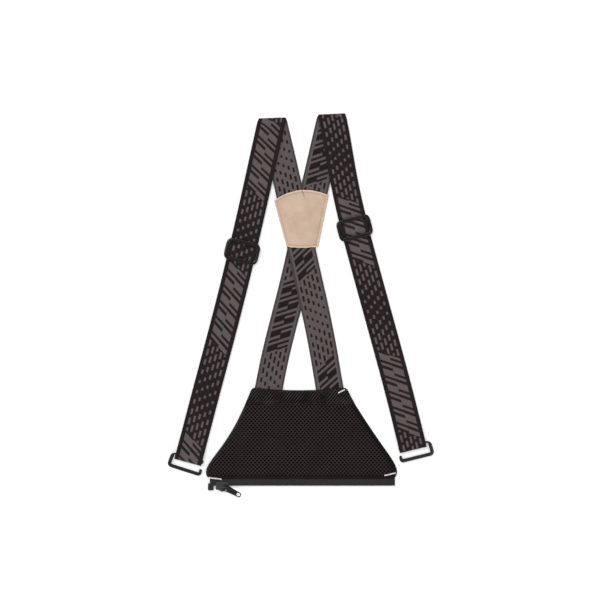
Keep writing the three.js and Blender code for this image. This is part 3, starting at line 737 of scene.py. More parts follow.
def ribbon_ends(count, around, lower_from):
    """Faces that close both ends of a ribbon, in strips from its upper points to those below them."""
    first = around - 3
    upper = [k % around for k in range(first, first + (lower_from - first) % around + 1)]
    below = {k: (2 * lower_from - k) % around for k in range(around)}
    return [
        tuple(dict.fromkeys((start + a, start + b, start + below[b], start + below[a])))
        for start in (0, (count - 1) * around)
        for a, b in zip(upper, upper[1:])
    ]


def ribbon(name, centres, half_widths, along, upper="front", ripple=0.0, seed=0):
    """Webbing along a path. upper is the face that shows where the path's own up points up."""
    section, lower_from = web_section()
    count, around = len(centres), len(section)
    tangent = np.gradient(centres, axis=0)
    normal = np.cross(tangent, half_widths)
    normal /= np.linalg.norm(normal, axis=1)[:, None]
    phase = np.random.default_rng(seed).uniform(0, 6.28, 4)
    wave = sum(
        np.sin(2 * math.pi * along[:, None] / length + phase[k] + section[None, :, 0] * lean)
        for k, (length, lean) in enumerate([(83 * MM, 2.4), (47 * MM, -1.6), (29 * MM, 2.9)])
    )
    lift = ripple * (wave / 3 * 0.5 + 0.5) * (0.35 + 0.65 * section[None, :, 0] ** 2)
    points = (
        centres[:, None]
        + half_widths[:, None] * section[None, :, 0, None]
        + normal[:, None] * (section[None, :, 1] * WEB_THICKNESS / 2 + lift)[:, :, None]
    )
    ends = ribbon_ends(count, around, lower_from)
    faces = grid_faces(count, around, closed=True) + ends
    slots = [0 if k < lower_from or k >= around - 2 else 1 for k in range(around)] * (count - 1)
    slots += [0] * len(ends)
    other = "reverse" if upper == "front" else "front"
    obj = new_piece(name, points.reshape(-1, 3), faces, [upper, other])
    obj.data.polygons.foreach_set("material_index", slots)
    layer = obj.data.uv_layers.new(name="webbing")
    across_m = np.tile(section[:, 0] * WEB_HALF, count)
    along_m = np.repeat(along, around)
    corner = np.array([loop.vertex_index for loop in obj.data.loops])
    layer.data.foreach_set("uv", np.stack([across_m[corner], along_m[corner]], 1).ravel())
    return face_outward(obj)


def half_turn(centre, out, radius, steps=14):
    """Points round a half turn, from below its centre to above it, that bulges towards out."""
    angles = np.linspace(-math.pi / 2, math.pi / 2, steps + 1)[:, None]
    return np.array(centre) + radius * (np.cos(angles) * np.array(out) + np.sin(angles) * np.array(UP))


def strap_run(name, line, start, end, height, webbing_at, upper="front", ripple=0.0, seed=0):
    """Webbing between two distances along a strap. webbing_at gives the distance along the webbing itself."""
    s = np.linspace(start, end, max(8, int((end - start) / (1.6 * MM))))
    centres = line.point(s)
    centres[:, 2] = height(s) + WEB_THICKNESS / 2
    return ribbon(name, centres, line.half_width(s), webbing_at(s), upper, ripple, seed)


class Strap:
    """One strap: its measures, and a method for each piece of its webbing."""

    def __init__(self, side):
        self.side = side
        self.start = MOTIF_START[side]
        bar = np.array(JOINTS[self.named("hook_swing")]["pos_m"])
        nodes = [self.named(n) for n in ("front_strap", "adjuster_wave", "lower_strap")]
        self.front = StrapLine(side, nodes, bar[1] - PAST_BAR, end_node=self.named("hook_loop"))
        rear_node = self.named("rear_strap")
        self.rear = StrapLine(side, [rear_node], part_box(rear_node)[0].y + REAR_HIDDEN)

        self.axis = np.array(JOINTS[self.named("adjust")]["axis"])
        low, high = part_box(self.named("adjuster_frame"))
        self.spot = np.array((low + high) / 2)
        self.spot_at = self.front.distance(self.spot)
        self.wave_half = half_extent(self.named("adjuster_wave"), self.axis)
        self.frame_half = half_extent(self.named("adjuster_frame"), self.axis)
        self.upper_to = self.spot_at - self.wave_half
        self.lower_from = self.spot_at + self.wave_half
        self.tail_from = self.spot_at + SEWN_END["end"]

        self.bar_at = self.front.distance(bar)
        self.loop_axis = -self.front.tangent(self.bar_at)
        loop_ends = extent(self.named("hook_loop"), self.loop_axis)
        bar_along = bar[:2] @ self.loop_axis[:2]
        self.lower_to = self.bar_at - (loop_ends[1] - bar_along)
        self.loop_reach = bar_along - loop_ends[0]

    def named(self, name):
        return f"{self.side}_{name}"

    def rear_webbing_at(self, s):
        """The distance along the webbing at a distance down the rear run."""
        drawn_out = REAR_STRETCH[self.side] * smoothstep(s, 100 * MM, 230 * MM)
        return drawn_out - s - FOLD_QUARTER - self.start + REAR_SHIFT[self.side]

    def webbing_at(self, s):
        """The same down the front run. It steps under the adjuster's lower bar."""
        bar_edge = self.spot_at + self.frame_half
        below = smoothstep(s, bar_edge - 5 * MM, bar_edge - 1 * MM)
        past = np.maximum(s - self.spot_at, 0)
        return s + FOLD_QUARTER - self.start + below * (LET_THROUGH - past * (1 - 1 / STRETCH_BELOW))

    def tail_webbing_at(self, s):
        """The same down the tail, which comes back from the hook."""
        return 2 * self.bar_at - s + FOLD_QUARTER - self.start

    def fold(self):
        """The half turn at the shoulder."""
        middle = np.array(JOINTS[self.named("shoulder_fold")]["pos_m"])
        out = np.cross(np.array(UP), self.front.fold_axis)
        turn = half_turn(middle, out, FOLD_RADIUS)
        drawn_in = 1 - FOLD_PINCH * np.cos(np.linspace(-math.pi / 2, math.pi / 2, len(turn)))
        half_widths = self.front.half_width(np.array(0.0)) * drawn_in[:, None]
        along = np.linspace(-FOLD_QUARTER, FOLD_QUARTER, len(turn)) - self.start
        bend = ribbon(self.named("shoulder_fold_webbing"), turn, half_widths, along)
        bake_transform(bend)
        return stand_in(bend, "webbing_face", self.named("shoulder_bend"))

    def rear_run(self, seed):
        """From the shoulder to the panel, reverse side up."""
        node = self.named("rear_strap")
        run = strap_run(
            self.named("rear_webbing"), self.rear, 0, self.rear.length, lower_height(node, self.rear),
            self.rear_webbing_at, upper="reverse", ripple=RIPPLE, seed=seed,
        )
        return stand_in(run, "webbing_reverse", node, body="harness")

    def upper_run(self, seed):
        """From the shoulder to the adjuster, clear of the rear run under it."""
        node = self.named("front_strap")
        cad_height = lower_height(node, self.front)
        run = strap_run(
            self.named("front_webbing"), self.front, 0, self.upper_to,
            lambda s: np.maximum(cad_height(s), CLEAR_OF_REAR), self.webbing_at, ripple=RIPPLE, seed=seed,
        )
        self.front.point(UPPER_MARGIN)
        self.front.point(self.upper_to - UPPER_MARGIN)
        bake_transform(run)
        return stand_in(run, "webbing_face", node)

    def over_bar(self):
        """The webbing over the adjuster's centre bar, and its length."""
        node = self.named("adjuster_wave")
        local = np.linspace(-self.wave_half, self.wave_half, 60)
        inside = np.clip(local, -self.wave_half + 0.2 * MM, self.wave_half - 0.2 * MM)
        middle = self.spot[:2] @ self.axis[:2]
        heights = np.array([cut(node, self.axis, middle - y)[:, 2].min() for y in inside])
        s = self.spot_at + local
        centres = self.front.point(s)
        centres[:, 2] = evened(heights) + WEB_THICKNESS / 2
        name = self.named("adjuster_webbing")
        wave = ribbon(name, centres, self.front.half_width(s), self.webbing_at(s))
        return stand_in(wave, "webbing_face", node, body=self.named("adjuster")), lengths(centres)[-1]

    def blend_below(self, run, start):
        """Bakes the transform of a run that starts there, between the adjuster and the hook's loop."""
        self.front.point(start + LOWER_MARGINS[0])
        self.front.point(self.lower_to - LOWER_MARGINS[1])
        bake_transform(run)

    def lower_run(self, seed):
        """The upper one of the two layers below the adjuster."""
        node = self.named("lower_strap")
        run = strap_run(
            self.named("lower_webbing"), self.front, self.lower_from, self.lower_to,
            lower_height(node, self.front), self.webbing_at, ripple=0.1 * MM, seed=seed,
        )
        self.blend_below(run, self.lower_from)
        return stand_in(run, "webbing_face", node)

    def tail(self):
        """The layer under it, which comes back from the hook to the adjuster."""
        run = strap_run(
            self.named("tail_webbing"), self.front, self.tail_from, self.lower_to, lambda s: 0 * s,
            self.tail_webbing_at, upper="reverse",
        )
        self.blend_below(run, self.tail_from)
        return stand_in(run, "webbing_reverse", self.named("strap_tail"))

    def sewn_end(self):
        """The strap's own end, wrapped round the centre bar."""
        node = self.named("strap_end_loop")
        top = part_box(node)[1].z
        radius = (top - WEB_THICKNESS) / 2
        axis = np.array([*self.axis[:2], 0])
        middle = np.array([*self.spot[:2], 0])
        bulge = extent(node, self.axis)[1] - self.spot[:2] @ self.axis[:2]
        centre = middle + axis * (bulge - radius - WEB_THICKNESS / 2)
        centre[2] = WEB_THICKNESS / 2 + radius
        lying = middle - axis * SEWN_END["end"] + np.array([0, 0, WEB_THICKNESS / 2])
        fall = [
            (-SEWN_END["falls_from"], top - WEB_THICKNESS / 2),
            (-SEWN_END["sewn_from"], SEWN_END["height"] + 0.1 * MM),
            (-SEWN_END["end"], SEWN_END["height"]),
        ]
        top_leg = [middle + axis * y + np.array([0, 0, z]) for y, z in fall]
        path = resampled(np.vstack([lying[None], half_turn(centre, axis, radius), top_leg]), 48)
        half_widths = np.tile(np.cross(axis, np.array(UP)) * WEB_HALF, (len(path), 1))
        piece = ribbon(self.named("sewn_end_webbing"), path, half_widths, lengths(path))
        return stand_in(piece, "webbing_face", node, body=self.named("adjuster"))

    def hook_loop(self):
        """The loop that holds the hook, and its length."""
        node = self.named("hook_loop")
        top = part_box(node)[1].z - WEB_THICKNESS / 2
        radius = (top - WEB_THICKNESS / 2) / 2
        s = np.linspace(self.lower_to, self.bar_at, 14)
        over = self.front.point(s)
        over[:, 2] = top
        under = self.front.point(s[::-1])
        under[:, 2] = WEB_THICKNESS / 2
        out = -np.array([*self.loop_axis[:2], 0])
        centre = self.front.point(self.bar_at) + out * (self.loop_reach - radius - WEB_THICKNESS / 2)
        centre[2] = WEB_THICKNESS / 2 + radius
        curl = half_turn(centre, out, radius, 18)[::-1]
        path = resampled(np.vstack([over, curl, under]), 72)
        along = lengths(path)
        half_widths = np.tile(self.front.half_width(np.array(self.bar_at)), (len(path), 1))
        name = self.named("hook_loop_webbing")
        loop = ribbon(name, path, half_widths, self.webbing_at(self.lower_to) + along)
        return stand_in(loop, "webbing_face", node, body=self.named("loop")), along[-1]


def build_strap(side, seed):
    """All of one strap's webbing. Returns its rear run."""
    strap = Strap(side)
    fold = strap.fold()
    rear = strap.rear_run(seed)
    upper = strap.upper_run(seed + 1)
    wave, wave_length = strap.over_bar()
    lower = strap.lower_run(seed + 2)
    tail = strap.tail()
    sewn_end = strap.sewn_end()
    loop, loop_length = strap.hook_loop()
    strap.lower_to - strap.lower_from
    strap.lower_to - strap.tail_from
    return rear


rear_runs = {side: build_strap(side, seed=10 * k) for k, side in enumerate(SIDES)}


# ---------------------------------------------------------------- adjusters and hooks

ADJUSTER = {
    "corner": 6 * MM,
    "bar": 2.75 * MM,  # half widths of the ring's bars and ends
    "end": 2.8 * MM,
    "bar_half_height": 1.15 * MM,
    "centre_bar": (1.75 * MM, 0.72 * MM),  # half sizes
    "centre_bar_z": 2.57 * MM,
}


def adjuster_ring(half_x, half_y, low_z, high_z):
    """The ring of the tri-glide: shallow bars, and deep ends that bulge."""
    bar, end = ADJUSTER["bar"], ADJUSTER["end"]
    corners = [(x * (half_x - end), y * (half_y - bar), 0) for x, y in ((-1, -1), (1, -1), (1, 1), (-1, 1))]
    ring = rounded_corners(corners, ADJUSTER["corner"], closed=True)
    ring = resampled(np.vstack([ring, ring[:1]]), 161)[:-1]
    endness = smoothstep(np.abs(ring[:, 0]), half_x - 8 * MM, half_x - 2.6 * MM)
    ring[:, 0] += np.sign(ring[:, 0]) * endness * 0.5 * MM * (np.cos(ring[:, 1] / half_y * 1.3) - 0.4)
    bar_half = ADJUSTER["bar_half_height"]
    end_half = (high_z - low_z) / 2
    ring[:, 2] = (high_z - bar_half) * (1 - endness) + (high_z - end_half) * endness
    return sweep(
        "ring", ring, bar + (end - bar) * endness, bar_half + (end_half - bar_half) * endness,
        "plastic", sides=20, power=0.75, closed=True,
    )


def build_adjuster(side):
    """The tri-glide: a ring, and a centre bar that the webbing passes over."""
    node = f"{side}_adjuster_frame"
    y_axis = np.array(JOINTS[f"{side}_adjust"]["axis"])
    x_axis = np.cross(y_axis, np.array(UP))
    low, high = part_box(node)
    half_x = half_extent(node, x_axis)
    ring = adjuster_ring(half_x, half_extent(node, y_axis), low.z, high.z)
    reach = half_x - ADJUSTER["end"]
    height = np.full(12, ADJUSTER["centre_bar_z"])
    centre = np.stack([np.linspace(-reach, reach, 12), np.zeros(12), height], 1)
    centre_bar = sweep("bar", centre, *ADJUSTER["centre_bar"], "plastic", power=0.7)
    piece = fused(f"{side}_tri_glide_adjuster", [ring, centre_bar], 0.38 * MM, 5, "plastic")
    spot = (low + high) / 2
    placed(piece, place_matrix((spot.x, spot.y, 0), x_axis))
    stand_in(piece, "adjuster_plastic", node, body=f"{side}_adjuster")


HOOK = {
    "wire": 1.5 * MM,  # half sizes
    "flat": (2.6 * MM, 1.5 * MM),
    "round_to": 22.2 * MM,  # the top bar is round up to here
    "inner_end": -21.9 * MM,
    "outer_bar": 24.7 * MM,
    "corner": 4.5 * MM,
    "drop": 18.4 * MM,
    "tip": (-21.3 * MM, -10.2 * MM),
    "lower_z": 1.6 * MM,
    "knob": (3.3 * MM, 3.6 * MM),  # radius and length
}


def build_hook(side, outward):
    """An open wire hook: a round bar in the webbing loop, then a flattened bow with an upturned tip."""
    swing = JOINTS[f"{side}_hook_swing"]
    corner = HOOK["corner"]
    outer, drop = HOOK["outer_bar"], HOOK["drop"]
    corners = [
        (HOOK["inner_end"], 0), (outer - 0.6 * MM, 0), (outer + 0.5 * MM, -drop),
        (HOOK["tip"][0] - 0.4 * MM, -drop), HOOK["tip"],
    ]
    path = resampled(rounded_corners(corners, corner), 170)
    along = lengths(path)
    top_bar = HOOK["round_to"] - HOOK["inner_end"]
    flatness = smoothstep(along, top_bar, top_bar + corner)
    knob_radius, knob_length = HOOK["knob"]
    in_knob = np.clip(1 - ((along - knob_length / 2) / (knob_length / 2)) ** 2, 0, 1)
    knob = np.sqrt(in_knob) * knob_radius
    wide = HOOK["wire"] * (1 - flatness) + HOOK["flat"][0] * flatness
    high = HOOK["wire"] * (1 - flatness) + HOOK["flat"][1] * flatness
    taper = 1 - 0.22 * smoothstep(along, along[-1] - 9 * MM, along[-1])
    wide = np.maximum(round_ends(wide * taper, along, 1.6 * MM), knob)
    high = np.maximum(round_ends(high * taper, along, 1.6 * MM), knob)
    sink = smoothstep(-path[:, 1], 0, HOOK["drop"]) * (swing["pos_m"][2] - HOOK["lower_z"])
    points = np.stack([outward * path[:, 0], path[:, 1], -sink], 1)
    piece = sweep(f"{side}_wire_hook", points, wide, high, "hook", sides=20, power=0.7)
    placed(piece, place_matrix(swing["pos_m"], -np.array(swing["axis"])))
    stand_in(piece, "hook_metal", f"{side}_hook", body=f"{side}_hook")


for side_name, outward in zip(SIDES, (-1, 1)):
    build_adjuster(side_name)
    build_hook(side_name, outward)


# ---------------------------------------------------------------- stitching and leather

def stitch_row(name, path, pitch, length, radius, material, sides=8, rings=5):
    """A row of separate stitches along a path, each a short rounded bar lying on it."""
    path = np.asarray(path, float)
    along = lengths(path)
    count = max(1, int((along[-1] - length) / pitch) + 1)
    starts = (along[-1] - (count - 1) * pitch - length) / 2 + pitch * np.arange(count)
    points, faces = [], []
    angles = np.arange(sides) / sides * 2 * math.pi
    for start in starts:
        spots = np.linspace(start, start + length, rings)
        line = np.stack([np.interp(spots, along, path[:, k]) for k in range(3)], 1)
        tangent = line[-1] - line[0]
        tangent /= np.linalg.norm(tangent)
        aside = np.cross(tangent, np.array(UP))
        aside /= np.linalg.norm(aside)
        over = np.cross(aside, tangent)
        base = len(points)
        for spot, share in zip(line, np.linspace(-1, 1, rings)):
            size = radius * math.sqrt(max(0.12, 1 - share ** 4))
            sunk = spot - over * radius * 0.9 * share ** 2
            for angle in angles:
                points.append(sunk + aside * (size * math.cos(angle)) + over * (size * math.sin(angle)))
        faces += [tuple(base + k for k in face) for face in grid_faces(rings, sides, closed=True)]
        faces += [tuple(base + k for k in reversed(range(sides)))]
        faces += [tuple(base + (rings - 1) * sides + k for k in range(sides))]
    return face_outward(new_piece(name, points, faces, [material]))


def surface_of(*objects):
    """A function that gives the height of the uppermost of some pieces over points in plan, or nan."""
    trees = [BVHTree.FromObject(o, bpy.context.evaluated_depsgraph_get()) for o in objects]

    def height(points):
        found = np.full(len(points), np.nan)
        for i, (x, y) in enumerate(points):
            for tree in trees:
                hit = tree.ray_cast(Vector((x, y, 0.1)), -UP)[0]
                if hit is not None and not found[i] > hit.z:
                    found[i] = hit.z
        return found
    return height


def relaxed(base, rounds, weight):
    """A skin laid over a height field: it rests on what stands highest and sags by its weight in between."""
    skin = np.full(base.shape, base.max())
    for _ in range(rounds):
        edge = np.pad(skin, 1, mode="reflect", reflect_type="odd")
        mean = (edge[:-2, 1:-1] + edge[2:, 1:-1] + edge[1:-1, :-2] + edge[1:-1, 2:]) / 4
        skin = np.maximum(base, mean - weight)
    return skin


def patch_grid(node, across=110, down=90):
    """A grid of plan points over a CAD patch ply, from its arched top edge to its arched bottom edge."""
    low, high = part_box(node)
    cloud = edge_ends(node)[0]
    foot = cloud[cloud[:, 1] < low.y + 5 * MM]
    xs = np.linspace(low.x + 1 * MM, high.x - 1 * MM, 25)
    tops = [cut(node, (1, 0, 0), x)[:, 1].max() for x in xs]
    top = np.polynomial.Polynomial.fit(xs, tops, 4)
    u = np.linspace(0, 1, across)
    top_x = low.x + (high.x - low.x) * u
    foot_x = foot[:, 0].min() + (foot[:, 0].max() - foot[:, 0].min()) * u
    inner = np.clip(foot_x, foot[:, 0].min() + 0.2 * MM, foot[:, 0].max() - 0.2 * MM)
    foot_y = np.array([cut(node, (1, 0, 0), x)[:, 1].min() for x in inner])
    foot_y = np.polynomial.Polynomial.fit(inner, foot_y, 2)(foot_x)
    v = np.linspace(0, 1, down)[:, None]
    x = top_x * (1 - v) + foot_x * v
    y = top(top_x) * (1 - v) + foot_y * v
    return np.stack([x, y], -1)


def edge_distance(grid):
    """How far each point of a grid is from the grid's edge."""
    to_side = np.minimum(
        np.linalg.norm(grid - grid[:, :1], axis=-1), np.linalg.norm(grid - grid[:, -1:], axis=-1)
    )
    to_end = np.minimum(np.linalg.norm(grid - grid[:1], axis=-1), np.linalg.norm(grid - grid[-1:], axis=-1))
    return np.minimum(to_side, to_end)


def soft_noise(x, y, size, seed):
    """Smooth random heights of about -1 to 1, as bumps of that size."""
    waves = np.random.default_rng(seed)
    total = np.zeros_like(x)
    for _ in range(7):
        angle = waves.uniform(0, 2 * math.pi)
        length = size * waves.uniform(0.6, 1.7)
        phase = waves.uniform(0, 2 * math.pi)
        total += np.sin((x * math.cos(angle) + y * math.sin(angle)) * 2 * math.pi / length + phase)
    return total / 4


def marked(piece, name, values):
    """Gives both faces of a sheet a value at each point of its grid."""
    layer = piece.data.attributes.new(name, "FLOAT", "POINT")
    layer.data.foreach_set("value", np.tile(values.ravel(), 2).astype(np.float32))


def leather_ply(name, grid, height, thickness, ragged, fold=None):
    """One suede ply whose top lies at those heights over its grid, with a slightly ragged cut edge."""
    rim = edge_distance(grid)
    wobble = np.stack([soft_noise(grid[..., 0], grid[..., 1], 7 * MM, 3 + k) for k in range(2)], -1)
    near = np.exp(-rim / (1.5 * MM))[..., None]
    plan = grid + wobble * near * ragged
    rounding = 0.35 * MM * np.clip(1 - rim / (0.8 * MM), 0, 1) ** 2
    grain = 0.06 * MM * soft_noise(grid[..., 0], grid[..., 1], 5 * MM, 9)
    points = np.concatenate([plan, (height - rounding + grain)[..., None]], -1)
    piece = sheet_mesh(name, points, thickness, ["suede"])
    marked(piece, "rim", rim)
    # fold: where suede() paints shade, in the crease below the arch
    marked(piece, "fold", np.zeros_like(rim) if fold is None else fold)
    return piece, points


def patch_stitching(label, points):
    """The row of stitches along the top or bottom seam of the front ply, whose top is that grid."""
    step = np.linalg.norm(points[1, 50, :2] - points[0, 50, :2])
    inward = int(round(SEAM_INSET / step))
    row = inward if label == "top" else -1 - inward
    path = points[row, 4:-4] + np.array([0, 0, 0.12 * MM])
    name = f"crossing_patch_{label}_stitching"
    stitches = stitch_row(name, path, 3.1 * MM, 2.3 * MM, 0.3 * MM, "tan_thread")
    return stand_in(stitches, "patch_leather", body="harness")


def crease_below_arch(grid):
    """1 along the short crease that runs down from the middle of the patch's top edge, and 0 away from it."""
    from_top = np.linalg.norm(grid - grid[:1], axis=-1)
    top_x = grid[0, grid.shape[1] // 2, 0] + 3 * MM
    aside = grid[..., 0] - top_x - 0.35 * from_top
    return np.exp(-(aside / (1.3 * MM)) ** 2) * (1 - smoothstep(from_top, 1 * MM, 16 * MM))


def build_patch():
    back_node, front_node = "crossing_patch_back", "crossing_patch_front"
    overhang = 3.6 * MM  # the front ply hides the right rear strap's edge
    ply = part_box(back_node)[1].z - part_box(back_node)[0].z
    back_grid = patch_grid(back_node) + (0, 2.6 * MM)
    flat = np.full(back_grid.shape[:2], ply)
    back, _ = leather_ply("crossing_patch_back_ply", back_grid, flat, ply, 0.25 * MM)
    stand_in(back, "patch_leather", back_node, body="harness")

    grid = patch_grid(front_node)
    share = np.linspace(0, 1, grid.shape[1])
    grid[..., 0] += overhang * smoothstep(share, 0.75, 1.0)
    below = surface_of(back, *rear_runs.values())(grid.reshape(-1, 2)).reshape(grid.shape[:2])
    below = np.where(np.isnan(below), ply, below)
    skin = relaxed(below + 0.1 * MM, rounds=700, weight=0.006 * MM)
    rim = edge_distance(grid)
    groove = 0.28 * MM * np.exp(-((rim - SEAM_INSET) / (0.9 * MM)) ** 2)
    # fold sinks the front ply into a crease, and marks where suede() paints shade in it
    fold = crease_below_arch(grid)
    groove += 0.6 * MM * fold
    front, points = leather_ply("crossing_patch_front_ply", grid, skin + ply - groove, ply, 0.3 * MM, fold)
    stand_in(front, "patch_leather", front_node, body="harness")
    rows = [patch_stitching(label, points) for label in ("top", "bottom")]
    size = (grid[0, -1, 0] - grid[0, 0, 0], grid[0, :, 1].max() - grid[-1, :, 1].min())
    width = lengths(points[len(points) // 2, :, :2])[-1]
    area = min(size[0] * size[1], width * size[1])


build_patch()


# ---------------------------------------------------------------- back panel

class PanelPlan:
    """The back panel in plan: u runs from its left edge to its right edge, and y down it."""

    def __init__(self):
        node = "panel_back_face"
        low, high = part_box(node)
        self.top, self.bottom = high.y, low.y
        ys = np.linspace(low.y + 0.1 * MM, high.y - 0.1 * MM, 60)
        sides = [cut(node, (0, 1, 0), y)[:, 0] for y in ys]
        self.left = np.polynomial.Polynomial.fit(ys, [x.min() for x in sides], 7)
        self.right = np.polynomial.Polynomial.fit(ys, [x.max() for x in sides], 7)
        middle = (self.left(high.y) + self.right(high.y)) / 2
        self.sag = high.y - cut(node, (1, 0, 0), middle)[:, 1].max()
        self.sag_ends = high.y - 30 * MM

    def points(self, u, y, corners=0, top=None, bottom=None):
        """Plan points for u and y. A piece that ends at top and bottom has its corners rounded."""
        left, right = self.left(y), self.right(y)
        if corners:
            from_end = np.minimum(top - y, y - bottom)
            inward = np.clip(1 - from_end / corners, 0, 1)
            drawn_in = corners * (1 - np.sqrt(1 - inward ** 2))
            left, right = left + drawn_in, right - drawn_in
        sag = self.sag * np.sin(math.pi * u) * smoothstep(y, self.sag_ends, self.top)
        return np.stack([left * (1 - u) + right * u, y - sag], -1)


PANEL = PanelPlan()


def panel_grid(top, bottom, step, u_from=0.0, u_to=1.0, corners=0):
    """Rows from the top down, of plan points about a step apart."""
    width = (PANEL.right(bottom) - PANEL.left(bottom)) * (u_to - u_from)
    u = np.linspace(u_from, u_to, int(width / step))[None, :]
    rows = np.linspace(top, bottom, int((top - bottom) / step))[:, None]
    u, rows = np.broadcast_arrays(u, rows)
    return PANEL.points(u, rows, corners, top, bottom)


def with_height(plan, height):
    return np.concatenate([plan, np.broadcast_to(height, plan.shape[:2])[..., None]], -1)


def plan_area(plan):
    """The area that a grid of plan points covers, and the size of the rectangle round it."""
    mean_width = np.mean(np.linalg.norm(plan[:, -1] - plan[:, 0], axis=-1))
    size = (np.ptp(plan[..., 0]), np.ptp(plan[..., 1]))
    return min(mean_width * size[1], size[0] * size[1]), size


def sewn_on(obj, slot, *nodes):
    """A piece that lies still with the rear straps and the panel."""
    return stand_in(obj, slot, *nodes, body="harness")


def inflated(obj, pinned, cap):
    """Swells a closed mesh like a stuffed pad. Pinned vertices stay, and none moves further than cap."""
    before = np.array([v.co for v in obj.data.vertices])
    group = obj.vertex_groups.new(name="pinned")
    group.add([int(k) for k in np.flatnonzero(pinned)], 1.0, "ADD")
    cloth = obj.modifiers.new("stuffing", "CLOTH")
    cloth.settings.quality = 6
    cloth.settings.mass = 0.2
    cloth.settings.tension_stiffness = 8
    cloth.settings.compression_stiffness = 8
    cloth.settings.shear_stiffness = 4
    cloth.settings.bending_stiffness = 0.3
    cloth.settings.use_pressure = True
    cloth.settings.uniform_pressure_force = 4
    cloth.settings.vertex_group_mass = "pinned"
    cloth.settings.effector_weights.gravity = 0
    scene = bpy.context.scene
    frames = 20
    cloth.point_cache.frame_start = 1
    cloth.point_cache.frame_end = frames
    for step in range(1, frames + 1):
        scene.frame_set(step)
    swollen = obj.evaluated_get(bpy.context.evaluated_depsgraph_get())
    after = np.array([v.co for v in swollen.to_mesh().vertices])
    swollen.to_mesh_clear()
    obj.modifiers.clear()
    obj.vertex_groups.clear()
    scene.frame_set(1)
    move = after - before
    far = np.linalg.norm(move, axis=1)[:, None] + 1e-9
    obj.data.vertices.foreach_set("co", (before + move / far * cap * np.tanh(far / cap)).ravel())
    obj.data.update()
    return obj


def build_pad():
    """The foam pad: flat where it lies on the lining, and crowned on top."""
    low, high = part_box("panel_foam")
    inset = 0.055
    plan = panel_grid(high.y, low.y, 4.5 * MM, inset, 1 - inset, corners=9 * MM)
    rows, columns = plan.shape[:2]
    across = np.abs(np.linspace(-1, 1, columns))[None, :]
    down = np.abs(np.linspace(-1, 1, rows))[:, None]
    dome = (1 - across ** 6) * (1 - down ** 4)
    edge = 0.9 * MM
    cap = 3.6 * MM
    started = 0.35 * (high.z - low.z - edge)
    points = with_height(plan, low.z + edge + dome * started)
    thickness = (edge + dome * started).reshape(-1)
    pad = sheet_mesh("back_pad", points, 0, ["foam"])
    count = rows * columns
    co = np.array([v.co for v in pad.data.vertices])
    co[count:, 2] = co[:count, 2] - thickness
    pad.data.vertices.foreach_set("co", co.ravel())
    at_rim = np.zeros((rows, columns), bool)
    at_rim[0], at_rim[-1], at_rim[:, 0], at_rim[:, -1] = True, True, True, True
    inflated(pad, np.concatenate([at_rim.ravel(), np.ones(count, bool)]), cap)
    finer = pad.modifiers.new("finer", "SUBSURF")
    finer.levels = finer.render_levels = 1
    apply_modifiers(pad)
    sewn_on(pad, "panel_foam", "panel_foam")
    return pad


def hole_depth(plan):
    """How far each plan point is inside a hole of the air mesh: 0 on the ridges and 1 at a hole's middle."""
    x, y = plan[..., 0], plan[..., 1]
    nearest = np.full(x.shape, 1.0)
    for shift in (0, 0.5):
        from_x = ((x / HOLE_PITCH + shift) % 1 - 0.5) * HOLE_PITCH
        from_y = ((y / (2 * HOLE_ROW) + shift) % 1 - 0.5) * (2 * HOLE_ROW)
        nearest = np.minimum(nearest, np.sqrt(0.8 * from_x ** 2 + 1.1 * from_y ** 2))
    return 1 - smoothstep(nearest, 0.3 * HOLE_RADIUS, 1.1 * HOLE_RADIUS)


def laid_over(plan, pad, tape, rest, every=6):
    """The height of a skin over the pad and the tape at each grid point, worked out on every sixth one."""
    coarse = plan[::every, ::every]
    spots = coarse.reshape(-1, 2)
    on_pad = surface_of(pad)(spots).reshape(coarse.shape[:2])
    on_tape = surface_of(tape)(spots).reshape(coarse.shape[:2])
    rest = np.where(np.isnan(on_tape), rest, np.maximum(rest, on_tape + 0.1 * MM))
    over = np.where(np.isnan(on_pad), rest, on_pad + 0.15 * MM)
    over = relaxed(np.maximum(over, rest), rounds=60, weight=0.01 * MM)
    across = np.arange(plan.shape[1]) / every
    down = np.arange(plan.shape[0]) / every
    over = np.stack([np.interp(across, np.arange(over.shape[1]), row) for row in over])
    return np.stack([np.interp(down, np.arange(over.shape[0]), column) for column in over.T], 1)


def build_mesh_face(pad, tape):
    """The air mesh, stretched over the pad, with its holes as real dimples."""
    node = "panel_mesh_face"
    low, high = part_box(node)
    thickness = 1.0 * MM
    plan = panel_grid(high.y, low.y - FOOT_OVERHANG, 0.72 * MM, corners=3.5 * MM)
    to_left = np.linalg.norm(plan - plan[:, :1], axis=-1)
    to_right = np.linalg.norm(plan - plan[:, -1:], axis=-1)
    to_side = np.minimum(to_left, to_right)
    to_foot = plan[..., 1] - plan[-1:, :, 1]
    rim = np.minimum(to_side, to_foot)
    fall = 1.0 * MM * np.clip(1 - to_side / (2.4 * MM), 0, 1) ** 2
    fall += 0.35 * MM * np.clip(1 - to_foot / (2.0 * MM), 0, 1) ** 2
    seam = 0.35 * MM * np.exp(-((rim - 3.6 * MM) / (1.0 * MM)) ** 2)
    slack = 0.12 * MM * soft_noise(plan[..., 0], plan[..., 1], 24 * MM, 4)
    dimple = 0.55 * MM * hole_depth(plan) * smoothstep(rim, 1.5 * MM, 4.5 * MM)
    smooth = laid_over(plan, pad, tape, low.z)
    height = smooth + thickness - fall - seam + slack * smoothstep(rim, 0, 8 * MM) - dimple
    face = sheet_mesh("air_mesh_face", with_height(plan, height), thickness, ["air_mesh"])
    marked(face, "rim", rim)
    # where air_mesh() paints shade: close to the foot, and further in from the right edge
    marked(face, "edge_shade", np.minimum(to_foot, 0.6 * to_right))
    sewn_on(face, "air_mesh", node)
    area, size = plan_area(plan)
    return face


